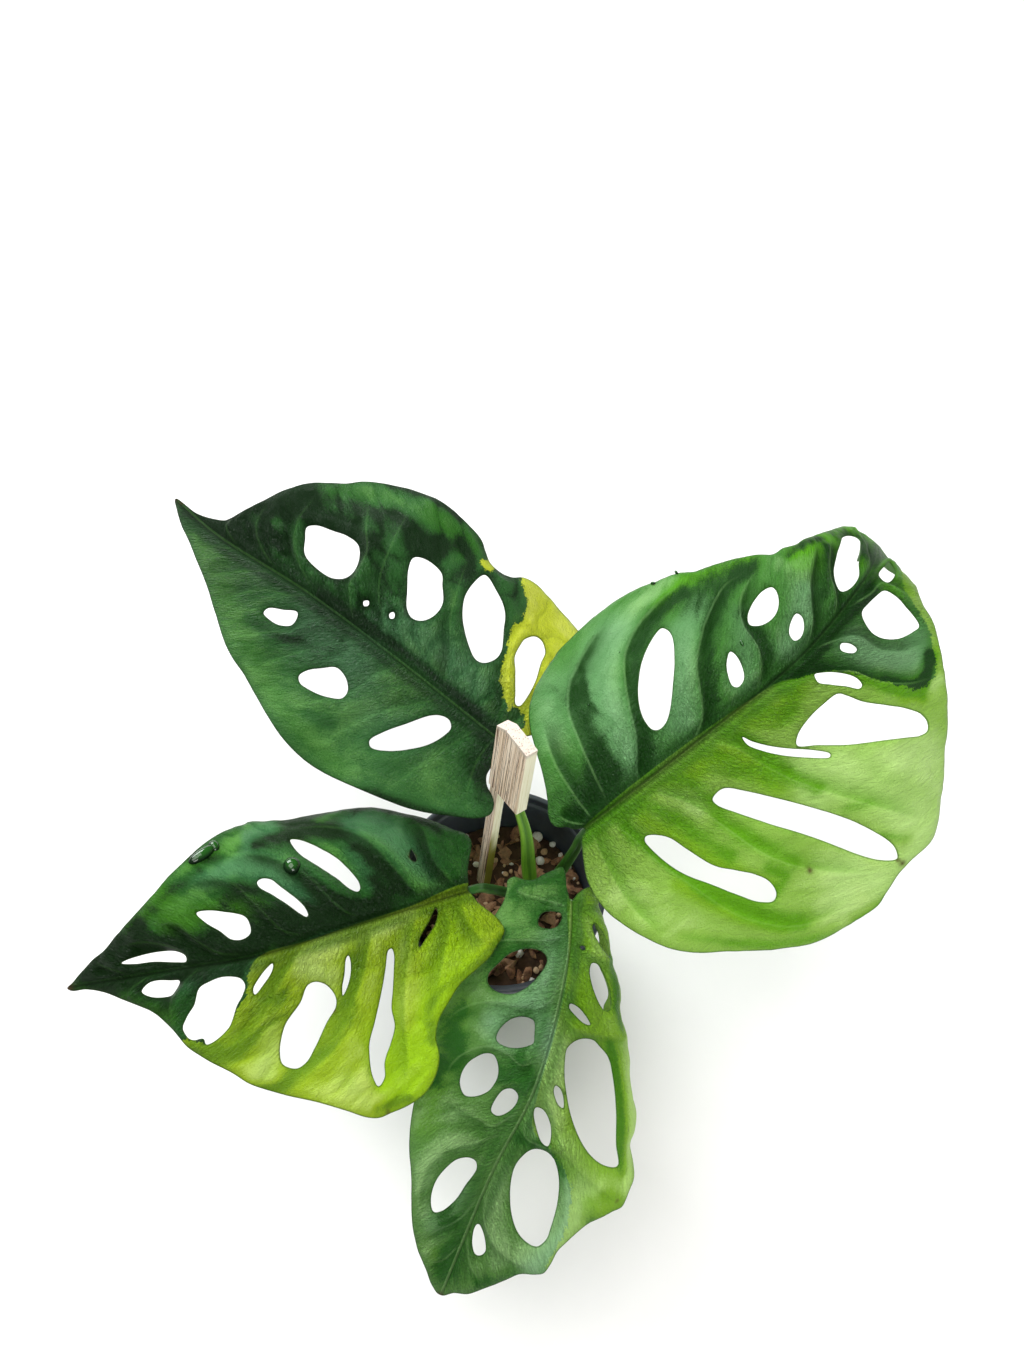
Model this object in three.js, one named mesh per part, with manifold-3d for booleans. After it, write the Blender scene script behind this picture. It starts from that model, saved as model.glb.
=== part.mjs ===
// A variegated Swiss cheese vine (monstera adansonii aurea) in a small nursery pot, with a bamboo pick.
// Millimetres, +Z up. The origin is the centre of the underside of the pot, and the plant is seen from -Y.
import * as THREE from "three";
import Module from "manifold-3d";
import { mergeVertices } from "three/addons/utils/BufferGeometryUtils.js";

const wasm = await Module();
wasm.setup();

// Gap between pieces that touch
const GAP = 0.3;

// Pot: a round 64 mm nursery pot with a collar and a stacking step inside
const POT_HEIGHT = 58;
const POT_BASE_R = 23;
const POT_WALL = 1.2;
const POT_FLOOR = 1.8;
const COLLAR_HEIGHT = 8;
const COLLAR_R = 32;
const SHOULDER_R = 29.6;
const LIP_WIDTH = 1.8;
const LIP_DEPTH = 3;
const POT_SEGMENTS = 48;
const DRAIN_COUNT = 6;
const DRAIN_RING_R = 15;
const DRAIN_R = 3;

// Soil: its level, and the lumps of bark and pumice that roughen its top
const SOIL_LEVEL = 40;
const SOIL_STEP = 2.3;
const LUMP_COUNT = 70;
const LUMP_SEED = 11;
const LUMP_HEIGHT = [0.8, 2.6];
const LUMP_RADIUS = [1.6, 4.2];

// Bamboo pick: a square shaft with a wider head, flush at its left edge, cut to a low gable on top
const PICK_FOOT = [-7.8, 8.2, 41];
const PICK_LEAN_RIGHT = 6;
const PICK_LEAN_BACK = 12;
const PICK_YAW = 54.5;
const PICK_SHAFT_WIDTH = 3.7;
const PICK_SHAFT_THICKNESS = 3;
const PICK_SHAFT_LENGTH = 52.2;
const PICK_HEAD_WIDTH = 13.2;
const PICK_HEAD_STEP = 0.8;
const PICK_HEAD_LEFT = 25.4;
const PICK_HEAD_RIDGE = 27.4;
const PICK_HEAD_RIDGE_AT = 3.7;
const PICK_HEAD_RIGHT = 26.4;
const PICK_BURIED = 28;
const PICK_POINT = 9;

// Stem: short, and leaning a little towards the viewer
const STEM_LINE = [
  [9, 1, 24],
  [9.4, 0.6, 38],
  [10.2, -0.6, 48],
  [11.2, -2.4, 56],
];
const STEM_R = 3.6;
const STEM_TOP_R = 2.6;

// Leaf blades: thickness and the spacing of their facets
const BLADE = 0.8;
const BLADE_STEP = 5;
const EDGE_STEP = 3.6;
const HOLE_STEP = 3;
const MIDRIB_SIDE = 3;
const RIB_START_R = 1.3;
const RIB_END_R = 0.35;
const RIB_SHARE = 0.82;

// Each blade is drawn flat as [side, along] in millimetres: along the midrib from the base to the tip,
// and to its right (+) or left (-). It is then bent over a curved midrib. fold lifts each half from the
// midrib in degrees, curl bends it down in degrees per millimetre, and roll starts a tighter curl at
// that distance from the midrib. spread widens a half. The lists run from the base to the tip, and size
// scales the drawing.
const FLAT_MARGIN = { start: [99, 99], curl: [0, 0] };
const AS_DRAWN = [1, 1];
const LEAVES = {
  leaf_upper_left: {
    colour: "#2f5d33",
    size: 1.01,
    spine: [[-0.5, 30.9, 95.2], [-27.3, 48.6, 107.3], [-54.6, 66.8, 116.4], [-80.8, 83.4, 120.5], [-97, 99, 119.5]],
    face: [[0.2, -0.32, 0.93], [0.1, -0.45, 0.89]],
    left: { fold: [8, 6, 4], curl: [0.5, 0.4, 0.2], roll: FLAT_MARGIN, spread: AS_DRAWN },
    right: { fold: [-5, 5, 4], curl: [0.4, 0.3, 0.2], roll: FLAT_MARGIN, spread: [1.1, 1.05, 1] },
    wave: { height: 1, length: 31 },
    outline: [
      [0, 121], [1, 111], [3, 105], [5.5, 101.2], [8, 99.7], [12, 97.5], [16, 94.5], [21, 91], [26, 86],
      [29, 81.5], [32, 77], [35, 74], [38.5, 68.5], [41, 62.5], [42.7, 56], [43.2, 48], [42.5, 40],
      [40.5, 36.5], [38.5, 33], [38.3, 29], [39.5, 25.5], [42, 23], [43.5, 20], [44.3, 14], [44, 8],
      [43, 2], [40, -4.5], [35, -9.5], [28, -12.5], [20, -13], [13, -11], [7, -7.5], [3, -3.5], [0.2, 0.5],
      [-2.5, -3], [-5, -4], [-7.8, -3.5], [-10.7, -3.9], [-12.8, -5.8], [-14, -8.4], [-15.6, -10.3],
      [-18.5, -11.2],
      [-22, -8.5], [-25.5, -3], [-30, 5], [-33, 13], [-36, 24], [-37.8, 33], [-38.2, 40], [-37, 48],
      [-34.5, 55.5], [-32, 62], [-29.5, 68], [-27.5, 74], [-25, 79], [-21, 84.5], [-17, 89.5],
      [-13, 94.5], [-9.5, 100], [-6.5, 106], [-4.5, 112], [-2.4, 117],
    ],
    holes: [
      [[15.2, 79], [17, 77], [18, 73], [19, 69], [18.7, 65], [16, 62.5], [12, 61.3], [9, 62.3], [7, 65],
        [6.8, 70], [8.3, 75], [12, 77.5]],
      [[25, 50.7], [26.8, 48.5], [26.8, 42], [24, 39.5], [20, 36.2], [16, 35.8], [12.5, 37.5],
        [11.3, 40.3], [12.5, 43], [17, 46.5], [22, 50]],
      [[34.5, 32], [33, 26.5], [30, 20.5], [26, 17.5], [21, 14.5], [18, 14.2], [14.5, 16], [13.5, 18.5],
        [16, 24], [20, 29], [25, 32.3], [30, 33]],
      [[25, 11], [28, 11], [31, 9], [31.2, 6.5], [29, 4], [25, 3], [20, 1.2], [15, 0.3], [11.3, 0.5],
        [10.8, 1.7], [14, 4.5], [18, 7.5], [21.5, 10.3]],
      [[-11.8, 75], [-10, 74.7], [-8, 70.5], [-6.3, 67], [-8, 65.9], [-10.5, 66], [-12.3, 69], [-12.5, 72.5]],
      [[-22, 53.5], [-20.5, 55], [-18, 54], [-15, 51], [-12.5, 48], [-13.3, 44], [-16, 41.3],
        [-18.5, 41.3], [-20.7, 45], [-22, 50]],
      [[-24.3, 26.5], [-23, 28], [-19, 26.5], [-13, 22.8], [-7, 19], [-5, 16.5], [-4.6, 14], [-6, 12.3],
        [-9, 12.5], [-14, 14.5], [-19, 18.5], [-22.5, 22.5]],
      [[6, 53], [7, 54], [8, 53], [7, 52.2]],
      [[7.5, 45], [8.5, 46], [9.6, 45.3], [8.3, 44.2]],
    ],
    petiole: {
      line: [[9.6, 2.2, 47], [8.7, 6.4, 56.5], [7.8, 12.4, 68], [5.2, 17.8, 77.5], [1.8, 25, 88]],
      width: [4.2, 4.6, 3.6, 2.8, 2.6],
      depth: [3, 2.8, 2.6, 2.4, 2.4],
    },
  },
  leaf_right: {
    colour: "#6fa63a",
    size: 0.98,
    spine: [[24.1, 4.7, 92.3], [53.7, 22.1, 110.1], [81.4, 41.5, 121.9], [102.5, 66, 124.6], [110.7, 83, 117],
      [114, 93, 103], [114, 97, 88]],
    face: [[0.1, -0.5, 0.87], [0.35, -0.1, 0.9]],
    left: {
      fold: [-10.5, -11, -8, -15],
      curl: [0.73, 0.75, 0.8, 0.6],
      roll: FLAT_MARGIN,
      spread: [0.96, 0.95, 0.97, 1],
    },
    right: { fold: [14, 8, 4, -11], curl: [0.3, 0.3, 0.5, 0.8], roll: FLAT_MARGIN, spread: AS_DRAWN },
    wave: { height: 1.2, length: 38 },
    outline: [
      [0, 160.5], [1.5, 156], [5, 149], [9, 141], [13, 133], [16, 126], [17.2, 121], [19, 117.5],
      [24, 115], [30, 110.5], [35.3, 106], [40.8, 101.5], [46.5, 96], [51.5, 89.3], [57.2, 82], [61.8, 76],
      [63.7, 73], [63.7, 69], [63.2, 65], [64, 60], [66.3, 55], [68.2, 51], [68.2, 44], [66.7, 36.3],
      [64.2, 29.5], [60.3, 22.8], [56.4, 16], [51.6, 9.2], [46.9, 3.3], [42.2, -1], [36.5, -4.6],
      [29.8, -7.8], [23, -9.8], [17, -10], [12, -9],
      [8, -7], [4, -4.5], [1.5, -2.6], [0, -0.5], [-1.5, -2.6], [-3.5, -4.2], [-5, -6.3], [-7, -7.3],
      [-10, -6.5], [-13, -4.5], [-17, -2.5], [-22, -0.5], [-29, 1.5], [-35, 3.2], [-40, 5.5], [-45, 10],
      [-49, 17], [-52, 24], [-53.7, 33], [-54.5, 42], [-54.3, 50], [-53, 56], [-50, 63], [-47, 70.5],
      [-43, 77], [-39, 85], [-35, 90.5], [-31, 95], [-26.5, 98.5], [-25, 103], [-22.5, 107],
      [-21.5, 111], [-19, 118], [-16, 124], [-12, 131], [-7.5, 140], [-4, 148], [-1.5, 156],
    ],
    holes: [
      [[-35, 52], [-33.5, 53], [-30.5, 53], [-25, 50], [-18, 44.5], [-12, 39], [-10, 36], [-9.7, 33.5],
        [-11, 32], [-15, 31.8], [-20, 33.5], [-25, 37], [-30, 42], [-33.5, 47]],
      [[-21.5, 86], [-20, 88.5], [-17, 87], [-14.3, 83], [-13.8, 79], [-15, 75.5], [-17.5, 73.8],
        [-19.7, 75.5], [-21.3, 80]],
      [[-9.5, 86], [-7.5, 86], [-5, 83.5], [-4, 80.5], [-4.7, 79], [-7, 79.5], [-9, 82.5]],
      [[-15, 63], [-13, 63.5], [-9, 62.5], [-6, 60.5], [-5.3, 58], [-6.5, 57], [-9.5, 57.8], [-13, 60]],
      [[-11.3, 123], [-9.5, 126.5], [-7.5, 127], [-6, 125.5], [-5.3, 120], [-4.3, 114], [-1.9, 108],
        [-2.3, 102.5], [-3.5, 101.3], [-6, 102.5], [-9, 106.5], [-10.8, 113], [-11.3, 118]],
      [[2.8, 114.5], [5.5, 114.3], [7.2, 117], [7, 123], [5, 124.5], [3.5, 120]],
      [[6, 110], [7, 111.3], [10, 112], [15, 112], [19, 111.5], [21, 110.5], [20.5, 108], [18.5, 103],
        [15, 99], [11, 97.3], [7, 97.8], [4.7, 99.5], [4.7, 103], [5.5, 108]],
      [[5.5, 87.5], [7.5, 89.5], [10, 89.8], [10, 88.5], [8.5, 87], [6.5, 86.3]],
      [[6, 76], [7.5, 78.5], [11, 81.5], [15, 83.5], [17.5, 83.2], [17.5, 82], [14.5, 80], [11, 77.3], [8, 75.2]],
      [[17.5, 60.3], [21, 64.5], [26, 70], [31, 76], [37, 82.5], [41, 87], [42, 90], [40, 91.5],
        [37, 91.3], [32, 88.5], [26, 84], [20.5, 80.3], [16.5, 78.5], [14.2, 77], [13.5, 72], [14, 66],
        [15.5, 62]],
      [[6.5, 50.2], [9, 50], [13, 52.3], [17, 55.5], [22, 60.5], [25.7, 65], [25, 65.5], [21, 62.5],
        [17, 58.3], [13, 54.5], [9, 51.5]],
      [[14.2, 35], [14.5, 37.5], [18, 41], [24, 46], [32, 52], [42, 58.5], [50, 62], [56, 63.5],
        [59, 63], [60, 62.3], [57, 58.5], [52, 55], [44, 50.5], [36, 45.5], [29, 40.5], [22, 36],
        [17, 33], [15, 33]],
      [[12, 12], [12.5, 13.5], [16, 17], [22, 19], [30, 22], [34, 25.5], [38, 29], [42, 31],
        [46, 30.5], [47.3, 28.5], [45.5, 25.5], [40, 21.5], [34, 18], [28, 14.5], [22, 12.3],
        [15, 11], [12.7, 11.1]],
    ],
    petiole: {
      line: [[12.9, 0.2, 50], [16.2, 2.4, 56.5], [19.4, 4.2, 65], [21.9, 4.8, 76], [23.3, 4.8, 85.5]],
      width: [4.4, 4, 3.4, 3, 2.8],
      depth: [3, 2.8, 2.6, 2.6, 2.6],
    },
  },
  leaf_lower_left: {
    colour: "#7ea82a",
    size: 1,
    spine: [[-8, -8, 78], [-40.5, -20.5, 84], [-63, -29, 87], [-87, -33, 86], [-115.5, -36, 80.5]],
    face: [[0.1, -0.25, 0.96], [0.1, -0.25, 0.96]],
    left: { fold: [18, 8, 4], curl: [0.3, 0.2, 0.2], roll: FLAT_MARGIN, spread: AS_DRAWN },
    right: { fold: [-4, -4, 2], curl: [1, 0.9, 0.4], roll: FLAT_MARGIN, spread: AS_DRAWN },
    wave: { height: 1, length: 29 },
    outline: [
      [-0.4, 113.4], [0.8, 111.6], [4, 108], [6, 105.5], [8, 102], [11, 99], [15, 94.5], [19, 90],
      [24, 85], [29, 80.5], [33, 77], [36, 74], [39, 70], [41, 65], [42, 59], [41.8, 53], [40.5, 47.5],
      [39, 42], [38, 36], [37.2, 30], [36, 24], [34.3, 18], [31, 12.5], [27, 7.5], [23, 3], [19, -1],
      [16.5, -4], [14, -5], [11.5, -4.2], [8, -2.2], [5, -0.8], [2.5, 0], [0, 0.6], [-2, 0.2],
      [-5, -1], [-8, -3], [-11, -4.5], [-14, -5], [-16, -3.5], [-18, -1], [-20, 1.5], [-22, 6],
      [-24.5, 12], [-28, 16.5], [-31, 20], [-35, 22.3], [-40, 22.9], [-44, 25], [-47.5, 29], [-49, 34],
      [-49.3, 39], [-49.3, 43], [-48, 46], [-44.5, 50], [-40, 55], [-36, 60.5], [-32, 66], [-28, 70],
      [-24, 75.5], [-19.8, 80.8], [-14.5, 85], [-10, 89.5], [-8, 93], [-5.5, 98], [-3, 103],
      [-1.6, 108], [-1.4, 112],
    ],
    holes: [
      [[8.5, 30.5], [10, 32.5], [14, 35], [19, 38.5], [24, 41.5], [28, 42.8], [31, 42.8], [30.5, 41],
        [27, 38], [24, 36], [20, 33.2], [15, 30.8], [11, 29.5], [9, 29.8]],
      [[6, 45.5], [7.5, 47], [11, 49.5], [15, 53], [18, 56.5], [20, 57], [20.7, 55], [19.5, 52],
        [17, 50], [12.5, 47], [9, 45.3], [6.5, 45]],
      [[14, 76.5], [14.2, 73], [13, 68], [11, 62.8], [9, 61.7], [6, 61.7], [4.8, 64], [5.3, 67],
        [8, 70], [11, 74]],
      [[3.7, 97.3], [4.7, 94], [5.2, 87], [4.6, 82.5], [2.7, 79.5], [1.4, 79.5], [1.6, 82], [2.7, 88],
        [3, 94]],
      [[-4.5, 92], [-3, 90.5], [-2.3, 88], [-2.8, 84], [-3.2, 81.8], [-5, 82.5], [-6.5, 84], [-6.7, 87],
        [-6, 90]],
      [[-18, 80.2], [-15.5, 81.5], [-13, 80.3], [-10, 78], [-6, 76.5], [-4.8, 74], [-4, 70], [-5, 66],
        [-7, 64.8], [-9.5, 65.6], [-12, 67.2], [-17, 69.5], [-20, 73.5], [-20.3, 75.3], [-18.8, 76],
        [-18.8, 78.5]],
      [[-10, 62.8], [-8.5, 63], [-6.5, 61.6], [-3.7, 58.5], [-3.2, 57.3], [-5, 57.8], [-8, 60.5]],
      [[-30.8, 57], [-29, 59.3], [-26, 59.5], [-22, 58.5], [-19, 57], [-15, 53], [-11.5, 50.5],
        [-11.2, 48.5], [-13, 46], [-16.5, 44.7], [-19, 45.3], [-22, 48.5], [-27, 52.5], [-30, 55]],
      [[-17, 42.7], [-15, 42.2], [-12, 40.6], [-8, 38.8], [-7.5, 38], [-9.5, 38], [-13, 39.3], [-16, 41.5]],
      [[-42, 40.5], [-39, 41.3], [-34, 40.5], [-31, 39.5], [-26, 36], [-19, 32], [-14, 29.5],
        [-9.5, 27.3], [-9.3, 26.3], [-11, 26.2], [-15, 27.5], [-20, 29.3], [-24.5, 31], [-29, 31.5],
        [-33, 33.8], [-37, 36.8], [-40.5, 38]],
      [[-11.5, 19.2], [-9.5, 18.5], [-5.5, 14.4], [-2.2, 11.2], [-3.4, 11.1], [-6.5, 13], [-9.4, 16.4]],
      [[12.3, 12.6], [13.7, 13.6], [15.5, 13], [16.5, 12.3], [14.5, 11.9], [12.8, 12]],
    ],
    petiole: {
      line: [[7.6, -0.8, 49], [4, -2, 56], [0.4, -2.9, 61.5], [-3.4, -4.2, 67.5], [-6.4, -6.4, 74]],
      width: [4.2, 3.6, 3, 2.8, 2.6],
      depth: [3, 2.8, 2.6, 2.4, 2.4],
    },
  },
  leaf_front: {
    colour: "#5d9a3c",
    size: 1,
    spine: [[20.5, -8, 80], [18.3, -30.5, 78], [10, -59, 69], [-2, -80, 59], [-15.3, -107.5, 42.7]],
    face: [[0, -0.2, 0.98], [0, -0.2, 0.98]],
    left: {
      fold: [-18, -10, 0, 4, 4],
      curl: [0.8, 0.8, 0.8, 0.5, 0.3],
      roll: {
        start: [4, 7, 12.5, 18.5, 25.5, 40, 40, 40, 40],
        curl: [10, 10, 10, 10, 10, 0, 0, 0, 0],
      },
      spread: AS_DRAWN,
    },
    right: { fold: [-11, -8, 0, 4, 4], curl: [0.6, 0.6, 0.6, 0.5, 0.3], roll: FLAT_MARGIN, spread: AS_DRAWN },
    wave: { height: 0.8, length: 27 },
    outline: [
      [0, 115], [3, 113.5], [6, 110.5], [10, 106.5], [13, 102.5], [15, 99], [17, 94.5], [19, 90],
      [22, 85], [24.5, 80], [26.7, 75.5], [29, 69.5], [31, 62.5], [32.3, 55], [32.7, 47], [32, 39],
      [30.3, 31], [28, 23], [25.5, 15], [22.5, 7.5], [20, 3.7], [19.3, 1], [19.3, -1.5], [17.5, -2.6],
      [14, -1.7], [11.5, -1.7], [9, -3.2], [6, -4.6], [3.2, -5.6], [2.2, -3.5], [1.4, 0.5], [0, 4],
      [-2, 1.4], [-5, -0.8], [-9, -1.5], [-13, 0.5], [-16, 5], [-19.5, 13], [-23, 20], [-27, 29],
      [-31, 37], [-34.8, 46], [-37, 54], [-37.3, 60], [-35.7, 65], [-35.3, 70], [-33.2, 73], [-30.5, 77.5],
      [-28, 82], [-25.6, 87], [-24, 91], [-23.4, 95], [-22.6, 97.8], [-21, 99], [-17, 100.8],
      [-14, 104], [-10, 108], [-6.5, 111.3], [-3, 112.8],
    ],
    holes: [
      [[2.5, 9], [4, 11.5], [6.5, 12], [9, 11], [9.3, 9], [8, 7], [5, 6.8], [3, 7.5]],
      [[5.7, 21], [5.8, 23], [7.5, 27], [10, 30.5], [13.5, 33], [18, 33.3], [21, 31.5], [21.3, 29],
        [19, 25], [16, 20.5], [13, 18.7], [9.5, 18.5], [7, 19.3]],
      [[4, 44], [4.3, 42], [5.5, 38.5], [8, 38], [11.5, 39.5], [14, 43.5], [13.8, 46.5], [11, 47.3],
        [7.5, 46.5], [5, 45]],
      [[10.3, 56], [11.3, 53], [13.5, 50.8], [16, 51.5], [18.5, 55], [19.7, 60], [18.7, 64.5],
        [16, 66.5], [13.5, 65.3], [11, 62], [10.3, 59]],
      [[2.8, 60.5], [3.3, 58.5], [5.3, 57.7], [7.3, 59], [8.2, 63], [7.7, 66], [5.8, 66.2], [3.8, 64]],
      [[4, 80.5], [5, 79], [7, 79], [9.5, 80.5], [11.5, 84], [12.6, 89], [11.8, 93.5], [10, 95.7],
        [8, 94.3], [5.8, 90], [5, 86]],
      [[-6.5, 99], [-6, 100.5], [-4.5, 101], [-2.8, 99], [-1.6, 95], [-2, 93.3], [-3.7, 94.5]],
      [[-20, 86], [-20, 89.5], [-18.5, 92], [-15.5, 92.2], [-12, 90.3], [-8.5, 86], [-5.5, 79],
        [-4.8, 73.5], [-6.5, 69], [-9.5, 67.5], [-13, 68.2], [-16.5, 72], [-18.8, 78]],
      [[-9.8, 66], [-8, 66], [-5.3, 64], [-2.5, 60.7], [-2.3, 59.2], [-4.5, 59], [-7.5, 61], [-9.3, 63.5]],
      [[-9, 56.5], [-7.5, 56.3], [-5, 53.7], [-5, 52.3], [-6.5, 52.7], [-8.3, 54.8]],
      [[-5.3, 42.5], [-5.5, 46], [-7.5, 51.5], [-11, 56.6], [-16, 60.7], [-21, 63], [-26, 63.6],
        [-29.5, 62.5], [-26.5, 59], [-23, 53], [-20, 47], [-17, 42], [-14.5, 40.3], [-12, 39],
        [-8, 39.7]],
      [[-9.8, 35.5], [-8, 35.5], [-5, 34], [-3, 32.5], [-3, 31.5], [-5, 31.7], [-8, 33.5]],
      [[-13, 31], [-9.5, 27.5], [-7, 22.5], [-7.3, 20], [-9, 19.8], [-11.5, 22.5], [-14, 27],
        [-14.7, 30.5]],
      [[-6.8, 10.2], [-7.8, 13.2], [-10.3, 16], [-13, 17.3], [-13.6, 16], [-11.8, 13.2], [-9.3, 10.6],
        [-7.6, 9.2]],
      [[-3.2, 16.3], [-3.8, 17], [-4.8, 16.8], [-4.2, 16]],
    ],
    petiole: {
      line: [[12.8, -3, 52], [15.2, -5.6, 60], [17.6, -8.6, 68], [19.6, -11.4, 75.5]],
      width: [4.2, 3.4, 3, 2.8],
      depth: [3, 2.8, 2.6, 2.6],
    },
  },
};

// Numbers drawn in the same order every time, from 0 to 1
function seededRandom(seed) {
  let state = seed;
  return () => {
    state = (state * 1664525 + 1013904223) % 4294967296;
    return state / 4294967296;
  };
}

// A closed curve through [x, y] points, sampled every step or so
function smoothLoop(points, step) {
  const curve = new THREE.CatmullRomCurve3(
    points.map(([x, y]) => new THREE.Vector3(x, y, 0)),
    true,
    "centripetal",
  );
  curve.arcLengthDivisions = points.length * 12;
  const count = Math.max(7, Math.round(curve.getLength() / step));
  return curve.getSpacedPoints(count).slice(0, count).map((p) => [p.x, p.y]);
}

function isInside([x, y], loops) {
  let inside = false;
  for (const loop of loops) {
    for (let i = 0, j = loop.length - 1; i < loop.length; j = i, i += 1) {
      const [xi, yi] = loop[i];
      const [xj, yj] = loop[j];
      if (yi > y !== yj > y && x < ((xj - xi) * (y - yi)) / (yj - yi) + xi) inside = !inside;
    }
  }
  return inside;
}

// Delaunay triangles over flat points, each counter-clockwise, by adding one point at a time
function delaunay(points) {
  const far = 1e4;
  const nudged = points.map(([x, y], i) => [x + 1e-3 * Math.sin(12.9 * i), y + 1e-3 * Math.cos(7.3 * i)]);
  const all = [...nudged, [-far, -far], [far, -far], [0, far]];
  const count = points.length;
  const makeTriangle = (a, b, c) => {
    const [ax, ay] = all[a];
    const bx = all[b][0] - ax;
    const by = all[b][1] - ay;
    const cx = all[c][0] - ax;
    const cy = all[c][1] - ay;
    const cross = 2 * (bx * cy - by * cx);
    const bb = bx * bx + by * by;
    const cc = cx * cx + cy * cy;
    const ux = (cy * bb - by * cc) / cross;
    const uy = (bx * cc - cx * bb) / cross;
    return { a, b, c, x: ax + ux, y: ay + uy, rr: ux * ux + uy * uy };
  };
  let triangles = [makeTriangle(count, count + 1, count + 2)];
  for (let i = 0; i < count; i += 1) {
    const [x, y] = all[i];
    const kept = [];
    const rim = new Map();
    for (const t of triangles) {
      if ((x - t.x) ** 2 + (y - t.y) ** 2 >= t.rr) {
        kept.push(t);
        continue;
      }
      for (const [p, q] of [[t.a, t.b], [t.b, t.c], [t.c, t.a]]) {
        if (!rim.delete(`${q},${p}`)) rim.set(`${p},${q}`, [p, q]);
      }
    }
    for (const [p, q] of rim.values()) kept.push(makeTriangle(p, q, i));
    triangles = kept;
  }
  return triangles.filter((t) => Math.max(t.a, t.b, t.c) < count).map((t) => [t.a, t.b, t.c]);
}

// Flat triangles that fill an outline with holes, with inner points on a staggered grid
function fillShape(loops, step, extraPoints = []) {
  let rings = loops;
  const flat = loops.flat();
  const xs = flat.map((p) => p[0]);
  const ys = flat.map((p) => p[1]);
  const candidates = [...extraPoints];
  let row = 0;
  for (let y = Math.min(...ys); y < Math.max(...ys); y += step * 0.87) {
    row += 1;
    for (let x = Math.min(...xs) + (row % 2) * step * 0.5; x < Math.max(...xs); x += step) {
      candidates.push([x + 0.01 * Math.sin(7 * y), y + 0.01 * Math.sin(5 * x)]);
    }
  }
  const inner = [];
  for (const point of candidates) {
    const room = extraPoints.includes(point) ? 0.45 : 0.62;
    const isFree = [...flat, ...inner].every((p) => Math.hypot(p[0] - point[0], p[1] - point[1]) > room * step);
    if (isFree && isInside(point, loops)) inner.push(point);
  }
  for (let pass = 0; pass < 8; pass += 1) {
    const border = rings.flat();
    const points = [...border, ...inner];
    const triangles = delaunay(points);
    const edges = new Set();
    for (const [a, b, c] of triangles) {
      for (const [p, q] of [[a, b], [b, c], [c, a]]) edges.add(`${p},${q}`).add(`${q},${p}`);
    }
    let start = 0;
    let isComplete = true;
    rings = rings.map((ring) => {
      const split = [];
      ring.forEach((point, i) => {
        const next = (i + 1) % ring.length;
        split.push(point);
        if (!edges.has(`${start + i},${start + next}`)) {
          isComplete = false;
          split.push([(point[0] + ring[next][0]) / 2, (point[1] + ring[next][1]) / 2]);
        }
      });
      start += ring.length;
      return split;
    });
    if (isComplete) {
      const kept = triangles.filter(([a, b, c]) => {
        const centre = [0, 1].map((k) => (points[a][k] + points[b][k] + points[c][k]) / 3);
        return isInside(centre, rings);
      });
      return { points, triangles: kept };
    }
  }
  throw new Error("the outline crosses itself");
}

// A closed sheet from flat triangles: topAt and bottomAt give the two faces' points
function sheetSolid({ points, triangles }, topAt, bottomAt) {
  const positions = [...points.map(topAt), ...points.map(bottomAt)].flatMap((p) => [p.x, p.y, p.z]);
  const below = points.length;
  const index = [];
  const edges = new Set();
  for (const [a, b, c] of triangles) {
    index.push(a, b, c, below + a, below + c, below + b);
    for (const [p, q] of [[a, b], [b, c], [c, a]]) edges.add(`${p},${q}`);
  }
  for (const edge of edges) {
    const [p, q] = edge.split(",").map(Number);
    if (!edges.has(`${q},${p}`)) index.push(p, below + p, q, q, below + p, below + q);
  }
  const geometry = new THREE.BufferGeometry();
  geometry.setAttribute("position", new THREE.Float32BufferAttribute(positions, 3));
  geometry.setIndex(index);
  return geometry;
}

// A closed rod along a smooth line, with its own width and depth at each of its points
function rodGeometry({ line, width, depth }, sides, rings, faceUp) {
  const curve = new THREE.CatmullRomCurve3(line.map((p) => new THREE.Vector3(...p)), false, "catmullrom", 0.5);
  const up = new THREE.Vector3(...faceUp);
  const sizeAt = (sizes, t) => {
    const place = t * (sizes.length - 1);
    const i = Math.min(Math.floor(place), sizes.length - 2);
    return THREE.MathUtils.lerp(sizes[i], sizes[i + 1], place - i) / 2;
  };
  const positions = [];
  for (let ring = 0; ring <= rings; ring += 1) {
    const t = ring / rings;
    const centre = curve.getPoint(t);
    const tangent = curve.getTangent(t);
    const across = new THREE.Vector3().crossVectors(tangent, up).normalize();
    const outward = new THREE.Vector3().crossVectors(across, tangent);
    for (let side = 0; side < sides; side += 1) {
      const angle = (2 * Math.PI * side) / sides;
      const p = centre.clone();
      p.addScaledVector(across, Math.cos(angle) * sizeAt(width, t));
      p.addScaledVector(outward, Math.sin(angle) * sizeAt(depth, t));
      positions.push(p.x, p.y, p.z);
    }
  }
  const index = [];
  for (let ring = 0; ring < rings; ring += 1) {
    for (let side = 0; side < sides; side += 1) {
      const a = ring * sides + side;
      const b = ring * sides + ((side + 1) % sides);
      index.push(a, a + sides, b, b, a + sides, b + sides);
    }
  }
  const last = rings * sides;
  for (let side = 1; side < sides - 1; side += 1) {
    index.push(0, side, side + 1, last, last + side + 1, last + side);
  }
  const geometry = new THREE.BufferGeometry();
  geometry.setAttribute("position", new THREE.Float32BufferAttribute(positions, 3));
  geometry.setIndex(index);
  return geometry;
}

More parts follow.
